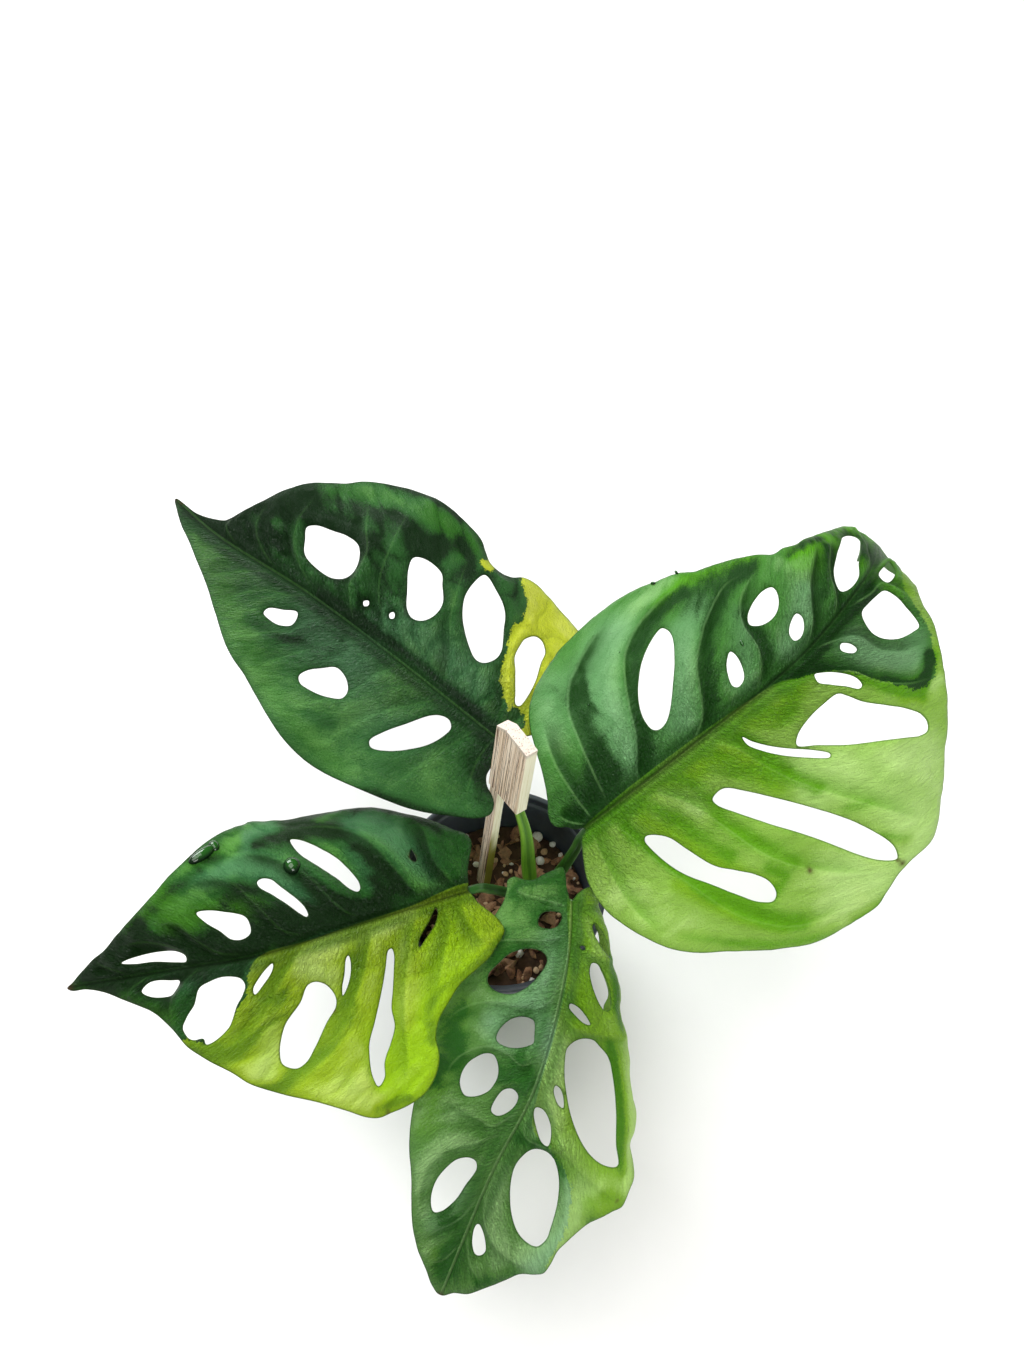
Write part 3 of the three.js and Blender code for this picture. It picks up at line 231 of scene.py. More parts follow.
HOLES = {
    "leaf_upper_left": [
        [(15.2, 79), (17, 77), (18, 73), (19, 69), (18.7, 65), (16, 62.5), (12, 61.3), (9, 62.3), (7, 65),
            (6.8, 70), (8.3, 75), (12, 77.5)],
        [(25, 50.7), (26.8, 48.5), (26.8, 42), (24, 39.5), (20, 36.2), (16, 35.8), (12.5, 37.5),
            (11.3, 40.3), (12.5, 43), (17, 46.5), (22, 50)],
        [(34.5, 32), (33, 26.5), (30, 20.5), (26, 17.5), (21, 14.5), (18, 14.2), (14.5, 16), (13.5, 18.5),
            (16, 24), (20, 29), (25, 32.3), (30, 33)],
        [(25, 11), (28, 11), (31, 9), (31.2, 6.5), (29, 4), (25, 3), (20, 1.2), (15, 0.3), (11.3, 0.5),
            (10.8, 1.7), (14, 4.5), (18, 7.5), (21.5, 10.3)],
        [(-11.8, 75), (-10, 74.7), (-8, 70.5), (-6.3, 67), (-8, 65.9), (-10.5, 66), (-12.3, 69),
            (-12.5, 72.5)],
        [(-22, 53.5), (-20.5, 55), (-18, 54), (-15, 51), (-12.5, 48), (-13.3, 44), (-16, 41.3),
            (-18.5, 41.3), (-20.7, 45), (-22, 50)],
        [(-24.3, 26.5), (-23, 28), (-19, 26.5), (-13, 22.8), (-7, 19), (-5, 16.5), (-4.6, 14), (-6, 12.3),
            (-9, 12.5), (-14, 14.5), (-19, 18.5), (-22.5, 22.5)],
        [(6, 53), (7, 54), (8, 53), (7, 52.2)],
        [(7.5, 45), (8.5, 46), (9.6, 45.3), (8.3, 44.2)],
    ],
    "leaf_right": [
        [(-35, 52), (-33.5, 53), (-30.5, 53), (-25, 50), (-18, 44.5), (-12, 39), (-10, 36), (-9.7, 33.5),
            (-11, 32), (-15, 31.8), (-20, 33.5), (-25, 37), (-30, 42), (-33.5, 47)],
        [(-21.5, 86), (-20, 88.5), (-17, 87), (-14.3, 83), (-13.8, 79), (-15, 75.5), (-17.5, 73.8),
            (-19.7, 75.5), (-21.3, 80)],
        [(-9.5, 86), (-7.5, 86), (-5, 83.5), (-4, 80.5), (-4.7, 79), (-7, 79.5), (-9, 82.5)],
        [(-15, 63), (-13, 63.5), (-9, 62.5), (-6, 60.5), (-5.3, 58), (-6.5, 57), (-9.5, 57.8), (-13, 60)],
        [(-11.3, 123), (-9.5, 126.5), (-7.5, 127), (-6, 125.5), (-5.3, 120), (-4.3, 114), (-1.9, 108),
            (-2.3, 102.5), (-3.5, 101.3), (-6, 102.5), (-9, 106.5), (-10.8, 113), (-11.3, 118)],
        [(2.8, 114.5), (5.5, 114.3), (7.2, 117), (7, 123), (5, 124.5), (3.5, 120)],
        [(6, 110), (7, 111.3), (10, 112), (15, 112), (19, 111.5), (21, 110.5), (20.5, 108), (18.5, 103),
            (15, 99), (11, 97.3), (7, 97.8), (4.7, 99.5), (4.7, 103), (5.5, 108)],
        [(5.5, 87.5), (7.5, 89.5), (10, 89.8), (10, 88.5), (8.5, 87), (6.5, 86.3)],
        [(6, 76), (7.5, 78.5), (11, 81.5), (15, 83.5), (17.5, 83.2), (17.5, 82), (14.5, 80), (11, 77.3),
            (8, 75.2)],
        [(17.5, 60.3), (21, 64.5), (26, 70), (31, 76), (37, 82.5), (41, 87), (42, 90), (40, 91.5),
            (37, 91.3), (32, 88.5), (26, 84), (20.5, 80.3), (16.5, 78.5), (14.2, 77), (13.5, 72), (14, 66),
            (15.5, 62)],
        [(6.5, 50.2), (9, 50), (13, 52.3), (17, 55.5), (22, 60.5), (25.7, 65), (25, 65.5), (21, 62.5),
            (17, 58.3), (13, 54.5), (9, 51.5)],
        [(14.2, 35), (14.5, 37.5), (18, 41), (24, 46), (32, 52), (42, 58.5), (50, 62), (56, 63.5), (59, 63),
            (60, 62.3), (57, 58.5), (52, 55), (44, 50.5), (36, 45.5), (29, 40.5), (22, 36), (17, 33),
            (15, 33)],
        [(12, 12), (12.5, 13.5), (16, 17), (22, 19), (30, 22), (34, 25.5), (38, 29), (42, 31), (46, 30.5),
            (47.3, 28.5), (45.5, 25.5), (40, 21.5), (34, 18), (28, 14.5), (22, 12.3), (15, 11),
            (12.7, 11.1)],
    ],
    "leaf_lower_left": [
        [(8.5, 30.5), (10, 32.5), (14, 35), (19, 38.5), (24, 41.5), (28, 42.8), (31, 42.8), (30.5, 41),
            (27, 38), (24, 36), (20, 33.2), (15, 30.8), (11, 29.5), (9, 29.8)],
        [(6, 45.5), (7.5, 47), (11, 49.5), (15, 53), (18, 56.5), (20, 57), (20.7, 55), (19.5, 52), (17, 50),
            (12.5, 47), (9, 45.3), (6.5, 45)],
        [(14, 76.5), (14.2, 73), (13, 68), (11, 62.8), (9, 61.7), (6, 61.7), (4.8, 64), (5.3, 67), (8, 70),
            (11, 74)],
        [(3.7, 97.3), (4.7, 94), (5.2, 87), (4.6, 82.5), (2.7, 79.5), (1.4, 79.5), (1.6, 82), (2.7, 88),
            (3, 94)],
        [(-4.5, 92), (-3, 90.5), (-2.3, 88), (-2.8, 84), (-3.2, 81.8), (-5, 82.5), (-6.5, 84), (-6.7, 87),
            (-6, 90)],
        [(-18, 80.2), (-15.5, 81.5), (-13, 80.3), (-10, 78), (-6, 76.5), (-4.8, 74), (-4, 70), (-5, 66),
            (-7, 64.8), (-9.5, 65.6), (-12, 67.2), (-17, 69.5), (-20, 73.5), (-20.3, 75.3), (-18.8, 76),
            (-18.8, 78.5)],
        [(-10, 62.8), (-8.5, 63), (-6.5, 61.6), (-3.7, 58.5), (-3.2, 57.3), (-5, 57.8), (-8, 60.5)],
        [(-30.8, 57), (-29, 59.3), (-26, 59.5), (-22, 58.5), (-19, 57), (-15, 53), (-11.5, 50.5),
            (-11.2, 48.5), (-13, 46), (-16.5, 44.7), (-19, 45.3), (-22, 48.5), (-27, 52.5), (-30, 55)],
        [(-17, 42.7), (-15, 42.2), (-12, 40.6), (-8, 38.8), (-7.5, 38), (-9.5, 38), (-13, 39.3),
            (-16, 41.5)],
        [(-42, 40.5), (-39, 41.3), (-34, 40.5), (-31, 39.5), (-26, 36), (-19, 32), (-14, 29.5),
            (-9.5, 27.3), (-9.3, 26.3), (-11, 26.2), (-15, 27.5), (-20, 29.3), (-24.5, 31), (-29, 31.5),
            (-33, 33.8), (-37, 36.8), (-40.5, 38)],
        [(-11.5, 19.2), (-9.5, 18.5), (-5.5, 14.4), (-2.2, 11.2), (-3.4, 11.1), (-6.5, 13), (-9.4, 16.4)],
        [(12.3, 12.6), (13.7, 13.6), (15.5, 13), (16.5, 12.3), (14.5, 11.9), (12.8, 12)],
    ],
    "leaf_front": [
        [(2.5, 9), (4, 11.5), (6.5, 12), (9, 11), (9.3, 9), (8, 7), (5, 6.8), (3, 7.5)],
        [(5.7, 21), (5.8, 23), (7.5, 27), (10, 30.5), (13.5, 33), (18, 33.3), (21, 31.5), (21.3, 29),
            (19, 25), (16, 20.5), (13, 18.7), (9.5, 18.5), (7, 19.3)],
        [(4, 44), (4.3, 42), (5.5, 38.5), (8, 38), (11.5, 39.5), (14, 43.5), (13.8, 46.5), (11, 47.3),
            (7.5, 46.5), (5, 45)],
        [(10.3, 56), (11.3, 53), (13.5, 50.8), (16, 51.5), (18.5, 55), (19.7, 60), (18.7, 64.5), (16, 66.5),
            (13.5, 65.3), (11, 62), (10.3, 59)],
        [(2.8, 60.5), (3.3, 58.5), (5.3, 57.7), (7.3, 59), (8.2, 63), (7.7, 66), (5.8, 66.2), (3.8, 64)],
        [(4, 80.5), (5, 79), (7, 79), (9.5, 80.5), (11.5, 84), (12.6, 89), (11.8, 93.5), (10, 95.7),
            (8, 94.3), (5.8, 90), (5, 86)],
        [(-6.5, 99), (-6, 100.5), (-4.5, 101), (-2.8, 99), (-1.6, 95), (-2, 93.3), (-3.7, 94.5)],
        [(-20, 86), (-20, 89.5), (-18.5, 92), (-15.5, 92.2), (-12, 90.3), (-8.5, 86), (-5.5, 79),
            (-4.8, 73.5), (-6.5, 69), (-9.5, 67.5), (-13, 68.2), (-16.5, 72), (-18.8, 78)],
        [(-9.8, 66), (-8, 66), (-5.3, 64), (-2.5, 60.7), (-2.3, 59.2), (-4.5, 59), (-7.5, 61), (-9.3, 63.5)],
        [(-9, 56.5), (-7.5, 56.3), (-5, 53.7), (-5, 52.3), (-6.5, 52.7), (-8.3, 54.8)],
        [(-5.3, 42.5), (-5.5, 46), (-7.5, 51.5), (-11, 56.6), (-16, 60.7), (-21, 63), (-26, 63.6),
            (-29.5, 62.5), (-26.5, 59), (-23, 53), (-20, 47), (-17, 42), (-14.5, 40.3), (-12, 39),
            (-8, 39.7)],
        [(-9.8, 35.5), (-8, 35.5), (-5, 34), (-3, 32.5), (-3, 31.5), (-5, 31.7), (-8, 33.5)],
        [(-13, 31), (-9.5, 27.5), (-7, 22.5), (-7.3, 20), (-9, 19.8), (-11.5, 22.5), (-14, 27),
            (-14.7, 30.5)],
        [(-6.8, 10.2), (-7.8, 13.2), (-10.3, 16), (-13, 17.3), (-13.6, 16), (-11.8, 13.2), (-9.3, 10.6),
            (-7.6, 9.2)],
        [(-3.2, 16.3), (-3.8, 17), (-4.8, 16.8), (-4.2, 16)],
    ],
}

# Stalks: low, high and groove colour (painted shade along the top groove), the colour of the strip at one
# side, and that side's angle in turns
STALK_COLOURS = {
    "leaf_upper_left": ["#5f9420", "#82b438", "#34641a", "#9cc458"],
    "leaf_right": ["#1d4708", "#2f6214", "#163a08", "#a8cc80"],
    "leaf_lower_left": ["#204a16", "#3a6a28", "#15360d", "#7f9f68"],
    "leaf_front": ["#4f8430", "#6ea048", "#2a5a1c", "#7fae58"],
}
STALK_SIDES = 28
STALK_RINGS = 170
STRIP_TURN = {"leaf_upper_left": 0, "leaf_right": 0, "leaf_lower_left": 0.5, "leaf_front": 0}

# Side veins, drawn over the same flat shapes from the midrib outwards
VEINS = {
    "leaf_upper_left": [
        [(-0.5, 1), (-8, 1), (-15, -1), (-21, -4)],
        [(-0.5, 6), (-9, 9), (-18, 12), (-27, 14.5), (-34, 17)],
        [(-0.5, 19), (-8, 25), (-16, 31), (-25, 35.5), (-34, 38)],
        [(-0.5, 33), (-7, 38), (-15, 40), (-23, 46), (-32, 53)],
        [(-0.5, 45), (-7, 52), (-14, 58), (-22, 64), (-29, 67)],
        [(-0.5, 56), (-6, 62), (-12, 65), (-18, 73), (-24, 78)],
        [(-0.5, 67), (-4, 72), (-6, 78), (-11, 84), (-17, 88)],
        [(-0.4, 79), (-4, 86), (-9, 92), (-13, 94)],
        [(-0.3, 91), (-3, 98), (-7, 103)],
        [(0.5, 3), (9, 5), (16, 9.5), (24, 13), (33, 14), (41, 12)],
        [(0.5, 1), (9, -2), (18, -4), (28, -5), (36, -3)],
        [(0.5, 20), (7, 24), (12, 27), (18, 32), (27, 36), (38, 40)],
        [(0.5, 40), (6, 46), (10, 51), (16, 55), (26, 58), (38, 60)],
        [(0.5, 52), (5, 57), (9, 60), (18, 61.5), (24, 66), (33, 71)],
        [(0.5, 66), (5, 74), (9, 79), (16, 82), (25, 82)],
        [(0.4, 79), (4, 87), (9, 92), (16, 93)],
        [(0.3, 92), (3, 99), (6, 100)],
    ],
    "leaf_right": [
        [(-0.5, 1), (-4, -2.5), (-8, -4.5)],
        [(-0.5, 3), (-10, 3), (-22, 4), (-35, 7.5)],
        [(-0.5, 9), (-10, 11), (-20, 13), (-31, 15.5), (-38, 20), (-43, 27), (-47, 35), (-49, 44)],
        [(-0.5, 19), (-5, 22), (-12, 27), (-20, 30.5), (-28, 34.5), (-35, 39.5), (-39.5, 46), (-42, 54),
            (-43, 63), (-41, 74)],
        [(-0.5, 37), (-2.5, 42), (-6, 46), (-12, 49.5), (-18, 53), (-23, 58), (-27, 64), (-30, 72),
            (-31, 80), (-29, 89)],
        [(-0.5, 60), (-5, 66), (-11, 70), (-18, 71.5), (-23, 76), (-26, 83), (-27, 92)],
        [(-0.5, 78), (-4, 86), (-9, 92), (-13, 98), (-16, 106), (-18.5, 114)],
        [(-0.5, 92), (-4, 98), (-9, 103), (-13, 111), (-15, 120)],
        [(-0.5, 112), (-4, 124), (-7, 131), (-10, 134)],
        [(0.5, 1), (12, -2), (25, -3.5), (38, -1.5)],
        [(0.5, 5), (8, 8.5), (18, 10), (30, 13.5), (42, 17), (50, 22), (57, 29), (61, 37), (63, 46)],
        [(0.5, 17), (7, 24), (15, 28.5), (25, 31.5), (36, 35), (46, 41), (55, 50), (61, 58)],
        [(0.5, 40), (7, 46.5), (15, 49.5), (25, 54), (34, 59.5), (43, 65), (52, 70), (60, 74)],
        [(0.5, 62), (4, 71), (8, 78.5), (13, 84), (20, 87), (28, 94), (34, 103)],
        [(0.5, 80), (4, 87.5), (8, 92.5), (16, 95), (22, 101), (26, 109)],
        [(0.5, 97), (3.5, 106), (4.5, 112), (10, 115), (16, 116)],
        [(0.5, 112), (3, 123), (6, 130), (9, 134)],
    ],
    "leaf_lower_left": [
        [(-0.5, 4), (-7, 4.5), (-13, 3), (-17, 1)],
        [(-0.5, 8), (-8, 9), (-15, 13), (-22, 17), (-29, 20)],
        [(-0.5, 16), (-6, 19), (-14, 23), (-22, 26.5), (-31, 29), (-40, 31), (-47, 34)],
        [(-0.5, 28), (-6, 31.5), (-13, 35), (-20, 40.5), (-27, 47), (-32.5, 54), (-34, 60)],
        [(-0.5, 46), (-5, 52.5), (-11, 58), (-17, 62), (-21, 67.5), (-23, 74)],
        [(-0.4, 60), (-3, 64), (-5.5, 64.2)],
        [(-0.3, 75), (-4, 80), (-8, 84), (-14, 84.5)],
        [(-0.3, 88), (-3, 94), (-5, 97)],
        [(0.5, 3), (8, 6.5), (14, 7.5), (21, 7), (28, 10)],
        [(0.5, 13), (6, 16.5), (14, 19.5), (22, 23), (28, 28), (32, 35), (34.5, 43)],
        [(0.5, 31), (4, 35.5), (9, 38.5), (15, 41), (21, 45), (27, 51), (29, 59), (28, 68)],
        [(0.5, 46), (4, 52.5), (9, 56), (15, 60), (21, 66), (23, 74), (20, 83)],
        [(0.5, 62), (2, 70), (6, 76), (11, 81), (14, 88)],
        [(0.4, 78), (5, 82), (8, 90), (8, 97)],
        [(0.3, 95), (3, 101), (5, 105)],
    ],
    "leaf_front": [
        [(-0.5, 5), (-6, 4), (-11, 3)],
        [(-0.5, 14), (-6, 17.5), (-12, 18.5), (-18, 17)],
        [(-0.5, 29), (-5, 36.8), (-11, 37.8), (-19, 37), (-28, 38)],
        [(-0.5, 47), (-4, 55.5), (-8, 59.5), (-13, 64), (-20, 67), (-28, 68.5), (-34, 70)],
        [(-0.5, 60), (-3, 66.5), (-8, 66.8), (-14, 66.5), (-20, 74), (-22.5, 84), (-22, 93)],
        [(-0.4, 82), (-3, 91), (-8, 96), (-14, 98), (-20, 97.5)],
        [(-0.3, 97), (-4, 103.5), (-8, 106.5)],
        [(0.5, 6), (7, 4), (13, 2.5), (17, 1)],
        [(0.5, 13), (5, 15.5), (11, 16), (18, 16.5), (24, 19)],
        [(0.5, 28), (4, 34), (11, 35.8), (19, 37), (26, 41.5), (30, 49)],
        [(0.5, 46), (5, 50.5), (10, 49), (16, 49.2), (21, 54), (23, 61), (22, 68)],
        [(0.5, 60), (5, 68.5), (10, 69.5), (17, 70), (24, 72)],
        [(0.5, 68), (7, 74.5), (13, 79.5), (16, 86), (15, 94), (11, 99.5)],
        [(0.4, 86), (3, 94), (7, 99), (10, 103)],
        [(0.3, 100), (3, 106), (6, 108)],
    ],
}

# How strong the pleats are on the left and the right half, and how high the bulges between the veins
PLEATS = {
    "leaf_upper_left": (0.35, 0.65), "leaf_right": (1.15, 0.65), "leaf_lower_left": (0.8, 1),
    "leaf_front": (0.65, 0.65),
}
PUFFS = {
    "leaf_upper_left": (0.3, 0.75), "leaf_right": (0.3, 0.22), "leaf_lower_left": (0.5, 0.45),
    "leaf_front": (0.3, 0.5),
}

# Outlines of the lime or yellow parts of the blades
PAINTED = {
    "leaf_upper_left": [
        [(46, 24.5), (41.5, 23.5), (38.5, 20.5), (37, 17.5), (34, 15.8), (31, 15.3), (28, 16.2), (26, 15.5),
            (22, 13.3), (18, 12), (13.5, 9.5), (10, 5.5), (7.5, 3), (10, 1.5), (9, -3), (4, -5), (10, -12),
            (20, -16), (38, -14), (48, 0)],
        [(36, 35.5), (38.5, 34.5), (38.8, 31), (35.5, 32)],
    ],
    "leaf_right": [
        [(0.6, -6), (0.6, 66), (2, 69.5), (5, 74.3), (8, 79.3), (14, 84.3), (20, 87.5), (26, 91.3),
            (30.5, 94), (33.2, 98), (33.6, 102), (40, 108), (50, 108), (80, 80), (80, -20), (10, -20)],
        [(37, 97), (41, 104), (30, 112), (23, 117), (20, 124), (18, 134), (9, 134), (9.5, 124), (12, 116.5),
            (17, 114), (24, 111.5), (29, 107.5), (32.6, 104.5), (33.6, 101), (34, 98)],
    ],
    "leaf_lower_left": [
        [(0.4, -4), (0.2, 20), (-0.3, 45), (-0.5, 60), (-4.5, 63.5), (-9, 64.5), (-14, 68), (-18, 72),
            (-20, 76), (-18, 80), (-21, 84), (-60, 60), (-60, 10), (-20, -12)],
    ],
    "leaf_front": [
        [(-1, -8), (-1, 30), (-1.4, 56), (-4, 64), (-12, 67), (-20, 72), (-23.5, 84), (-24, 98), (-60, 90),
            (-60, 0), (-20, -20)],
    ],
}

# Lighter (above zero) or darker strokes on the blades: amount, half width, and a line along them
# Besides real mottling they hold painted shade (in grooves, along hole edges, under the pick, in the rolled
# margin) and painted sheen
SHADE_SHEEN_AND_TONE_STROKES = {
    "leaf_upper_left": [
        (-1, 3.6, [(1.5, 112), (3, 101), (5, 92), (8, 84)]), (-0.8, 3, [(12, 96), (15, 90), (22, 86)]),
        (-0.9, 2.6, [(16, 90), (18.5, 80), (20.5, 70), (21, 62)]),
        (-0.8, 2.2, [(23, 86), (27, 70), (31.5, 61), (32, 50)]),
        (-0.8, 2.4, [(34, 46), (37, 41), (34, 37), (30, 38)]), (-0.6, 2, [(27, 64), (27.5, 54), (30, 46)]),
        (-0.5, 2, [(36, 30), (37, 24), (34, 19)]), (-0.6, 1.2, [(38.8, 68), (41.5, 58), (42.5, 48)]),
        (0.1, 2.2, [(35, 71), (38, 60), (38, 50)]), (0.15, 1.8, [(28.5, 75), (29.5, 68), (32, 64)]),
        (0.2, 1.6, [(21.5, 84), (23, 76)]), (0.3, 1.5, [(11, 93), (12, 86)]),
        (0.4, 8, [(-30, 58), (-23, 72), (-13, 90), (-6, 103)]), (0.4, 7, [(-8, 40), (-5, 28), (-20, 38)]),
        (0.3, 6, [(-33, 40), (-33, 28)]), (0.35, 5, [(6, 32), (13, 24), (8, 16)]),
        (0.3, 3, [(-14, 12), (-22, 6), (-20, -4)]), (-0.3, 8, [(-10, 54), (4, 57), (14, 55)]),
        (-0.5, 1.3, [(-35, 20), (-29, 4), (-24, -8)]), (-0.6, 4, [(-6, 1), (-14, -5)]),
        (-0.5, 1.4, [(-28, 46), (-26, 39)]), (-0.5, 1.2, [(-15.5, 78), (-15.8, 68), (-13, 62)]),
        (-0.7, 1, [(1.8, 8), (2.6, 30), (2.4, 50), (1.4, 64)]),
    ],
    "leaf_right": [
        (-1, 5, [(-1.5, 1), (-6, 8), (-10, 14)]),
        (-0.7, 2.8, [(-10, 15), (-20, 17), (-30, 18.5), (-36, 22)]),
        (-0.7, 2.4, [(-3, 24), (-10, 29), (-20, 33.5), (-29, 38), (-36, 45), (-39.5, 55), (-40, 66)]),
        (0.6, 3.2, [(-10, 22), (-22, 27), (-34, 34), (-43, 43), (-47, 54), (-47, 64)]),
        (0.45, 2.6, [(-6, 42), (-14, 47), (-20, 51.5), (-26, 57)]),
        (-0.5, 1, [(-41, 26), (-30, 22), (-20, 24)]),
        (-0.6, 2.3, [(-3, 47), (-8, 51), (-15, 55), (-21, 59), (-26, 65), (-29, 73), (-30, 83), (-28, 93)]),
        (-0.5, 4, [(-33, 66), (-37, 76), (-33, 87)]), (-0.7, 1.6, [(-22, 101), (-20, 109), (-18, 115)]),
        (-0.6, 2, [(-6, 71), (-13, 73), (-20, 75)]), (0.5, 4, [(-3, 76), (-8, 86), (-13, 96), (-16, 103)]),
        (0.35, 3, [(-24, 96), (-21, 100)]), (0.4, 3, [(-25, 7), (-36, 11)]), (0.3, 3, [(-5, 56), (-4, 62)]),
        (-0.8, 1.6, [(-7, 96), (-11, 104), (-14, 112)]), (-0.5, 3, [(-4, 118), (-9, 126), (-14, 122)]),
        (-0.8, 1.5, [(7, 9), (14, 10.5), (26, 13.5), (37, 17)]),
        (-0.8, 2.7, [(34, 16.5), (44, 21), (52, 26), (57, 31)]),
        (-0.6, 2.2, [(3, 10), (5, 17), (12, 21.5), (20, 23.5), (30, 27)]),
        (-0.6, 1.5, [(39, 33), (44, 35), (45, 30)]),
        (-0.55, 2.3, [(5, 28), (10, 32), (22, 32), (34, 36), (42, 40)]),
        (-0.5, 3, [(6, 40), (13, 44), (20, 49)]), (-0.6, 2, [(3, 48), (10, 51.5), (20, 53), (30, 58)]),
        (-0.5, 3, [(4, 58), (9, 62), (6, 68)]), (-0.4, 1.8, [(32, 71), (40, 72), (50, 76), (56, 78)]),
        (-0.4, 1.6, [(40, 60), (42, 66)]), (-0.7, 1.3, [(52, 63), (57, 67)]),
        (-0.6, 1.6, [(67.5, 43), (69, 49), (67.5, 54)]),
        (-0.5, 1.4, [(66, 36), (61, 27), (52, 14), (40, 3)]), (-0.7, 1.6, [(22, 90), (28, 93.5), (34, 95)]),
        (0.5, 7, [(46, 82), (56, 70)]), (0.5, 6, [(58, 55), (50, 47)]), (0.5, 5, [(59, 37), (63, 46)]),
        (0.35, 4, [(30, 66), (38, 76)]), (0.4, 2, [(5, 23), (9, 27), (16, 29)]),
        (0.3, 5, [(20, -4), (38, 6)]), (0.8, 4, [(7, 91), (17, 93), (24, 101)]),
        (-1, 1.8, [(1.5, 68), (4, 75), (9, 80.5), (16, 85), (23, 88.5), (29, 93), (31.5, 100), (29, 106)]),
        (-0.9, 1.8, [(1.8, 78), (2.2, 98), (3, 108)]), (-0.5, 2, [(28, 105), (33, 99)]),
        (0.5, 1.6, [(31, 103), (35, 100)]),
    ],
    "leaf_lower_left": [
        (-1, 3.6, [(3, 27), (5, 44), (4.5, 62), (5, 78), (6, 92), (3, 104)]),
        (-0.9, 1.8, [(4, 35), (10, 39), (18, 43)]), (-0.7, 3, [(7, 50), (12, 57), (18, 61), (17, 67)]),
        (-0.8, 2.4, [(27, 28), (31, 36), (33, 46), (32, 54)]), (-0.9, 3, [(37, 18), (35, 30), (39, 40)]),
        (-0.8, 1.8, [(5, 18), (14, 22), (22, 26.5)]), (-0.8, 2.2, [(25, 76), (20, 84), (12, 92)]),
        (0.5, 2, [(28, 79), (21, 88)]), (-0.7, 3, [(8, 96), (5, 106)]),
        (-0.6, 1.5, [(20, 3), (27, 9), (33, 16)]), (-0.6, 2.4, [(10, 26), (6, 24)]),
        (-0.6, 2, [(29, 70), (31, 79)]), (-0.6, 1.6, [(6, 9), (12, 10), (18, 10)]),
        (0.75, 3, [(5, 13), (14, 16), (23, 20), (29, 26)]),
        (0.75, 3.6, [(20, 48), (25, 56), (26, 66), (21, 76)]), (0.6, 2.6, [(36, 48), (37.5, 58), (34, 67)]),
        (0.5, 3, [(19, 81), (14, 88)]), (0.5, 2.4, [(8, 29), (17, 32), (25, 36)]),
        (0.5, 2, [(34, 34), (36, 26)]), (0.6, 2.6, [(5, 9), (14, 12), (23, 16)]),
        (-0.3, 3, [(-2, 66), (-5, 90), (-3, 100)]), (0.5, 1.6, [(-1.5, 62), (-3, 72)]),
        (-0.7, 2.3, [(-2, 53), (-11, 57), (-19, 62), (-23.5, 70), (-21, 78)]),
        (-0.7, 1.2, [(-34, 60), (-33, 66)]),
        (-0.7, 2.2, [(-4, 35), (-12, 38), (-22, 44), (-29, 51), (-32, 58)]),
        (-0.8, 1, [(-47, 33), (-47, 43)]), (0.7, 2.6, [(-2, 18), (-4, 32), (-4, 46), (-1.5, 56)]),
        (0.6, 4, [(-12, 44), (-7, 50)]), (0.6, 4, [(-40, 52), (-43, 46), (-36, 41)]),
        (0.6, 3, [(-30, 64), (-26, 59)]), (0.4, 2.4, [(-20, 60), (-26, 56)]),
        (0.4, 2, [(-10, 24), (-22, 29), (-31, 33)]), (-0.4, 1.2, [(-2, 15), (-8, 19), (-15, 22)]),
        (-0.5, 1.2, [(-36, 24), (-26, 20), (-20, 6), (-16, -3)]),
    ],
    "leaf_front": [
        (0.6, 2.4, [(2.2, 22), (2.4, 36), (1.8, 46)]), (-0.45, 5, [(4, -3), (12, 8), (16, 22)]),
        (0.35, 2, [(10, 2), (15, 10)]), (0.4, 3, [(20, 72), (25, 78)]),
        (-0.8, 2.8, [(3, 55), (6, 52.5), (9, 55)]), (-0.7, 2.6, [(26, 42), (25.5, 54), (24.5, 66)]),
        (-0.9, 2.8, [(1, 108), (3, 101), (5, 96)]), (0.6, 2.4, [(4, 77), (14, 79), (15.5, 88), (12, 97)]),
        (0.7, 2, [(4, 99), (8, 105)]), (-0.6, 1.4, [(27, 60), (26, 70)]),
        (-0.5, 1.2, [(3, 76), (7, 77), (13, 80)]), (0.1, 3, [(20, 82), (18, 92)]),
        (-0.6, 1.3, [(5, -2), (14, -1), (17, 2)]), (-0.6, 1.8, [(22, 24), (19, 14)]),
        (0.3, 3, [(12, 66), (16, 72)]), (0.3, 3, [(18, 44), (10, 48)]),
        (-0.5, 2.4, [(4, 36), (6, 48), (4, 52)]), (-0.5, 2, [(22, 50), (22, 60)]),
        (0.6, 3.6, [(-3, 38), (-4, 48), (-4, 60)]), (0.95, 4, [(-24, 71), (-22, 84), (-18, 94)]),
        (0.5, 3, [(-4, 46), (-5, 56), (-12, 64)]),
        (-0.8, 1.2, [(-17, 39), (-21, 46.5), (-24.5, 53), (-28, 59), (-31, 63)]),
        (-0.8, 1.3, [(-13.5, 18), (-15.5, 24), (-17, 30), (-20, 36)]),
        (0.8, 2.2, [(-22, 37), (-26, 46), (-29, 53), (-32, 60), (-34, 66)]),
        (0.6, 3, [(-12, 100), (-4, 88), (-3, 78)]), (-0.7, 1.4, [(-2, 68), (-11, 66.5), (-17, 70)]),
        (-0.7, 2, [(-26, 74), (-29, 80)]), (-0.6, 1.6, [(-8, 107), (-15, 101)]),
        (-0.6, 1.6, [(-2, 30), (-5, 36)]), (-0.5, 1.4, [(-29, 70), (-32, 69)]),
        (0.5, 3, [(-6, 10), (-8, 22)]), (-0.6, 2, [(-1.5, 4), (-2, 22)]),
    ],
}
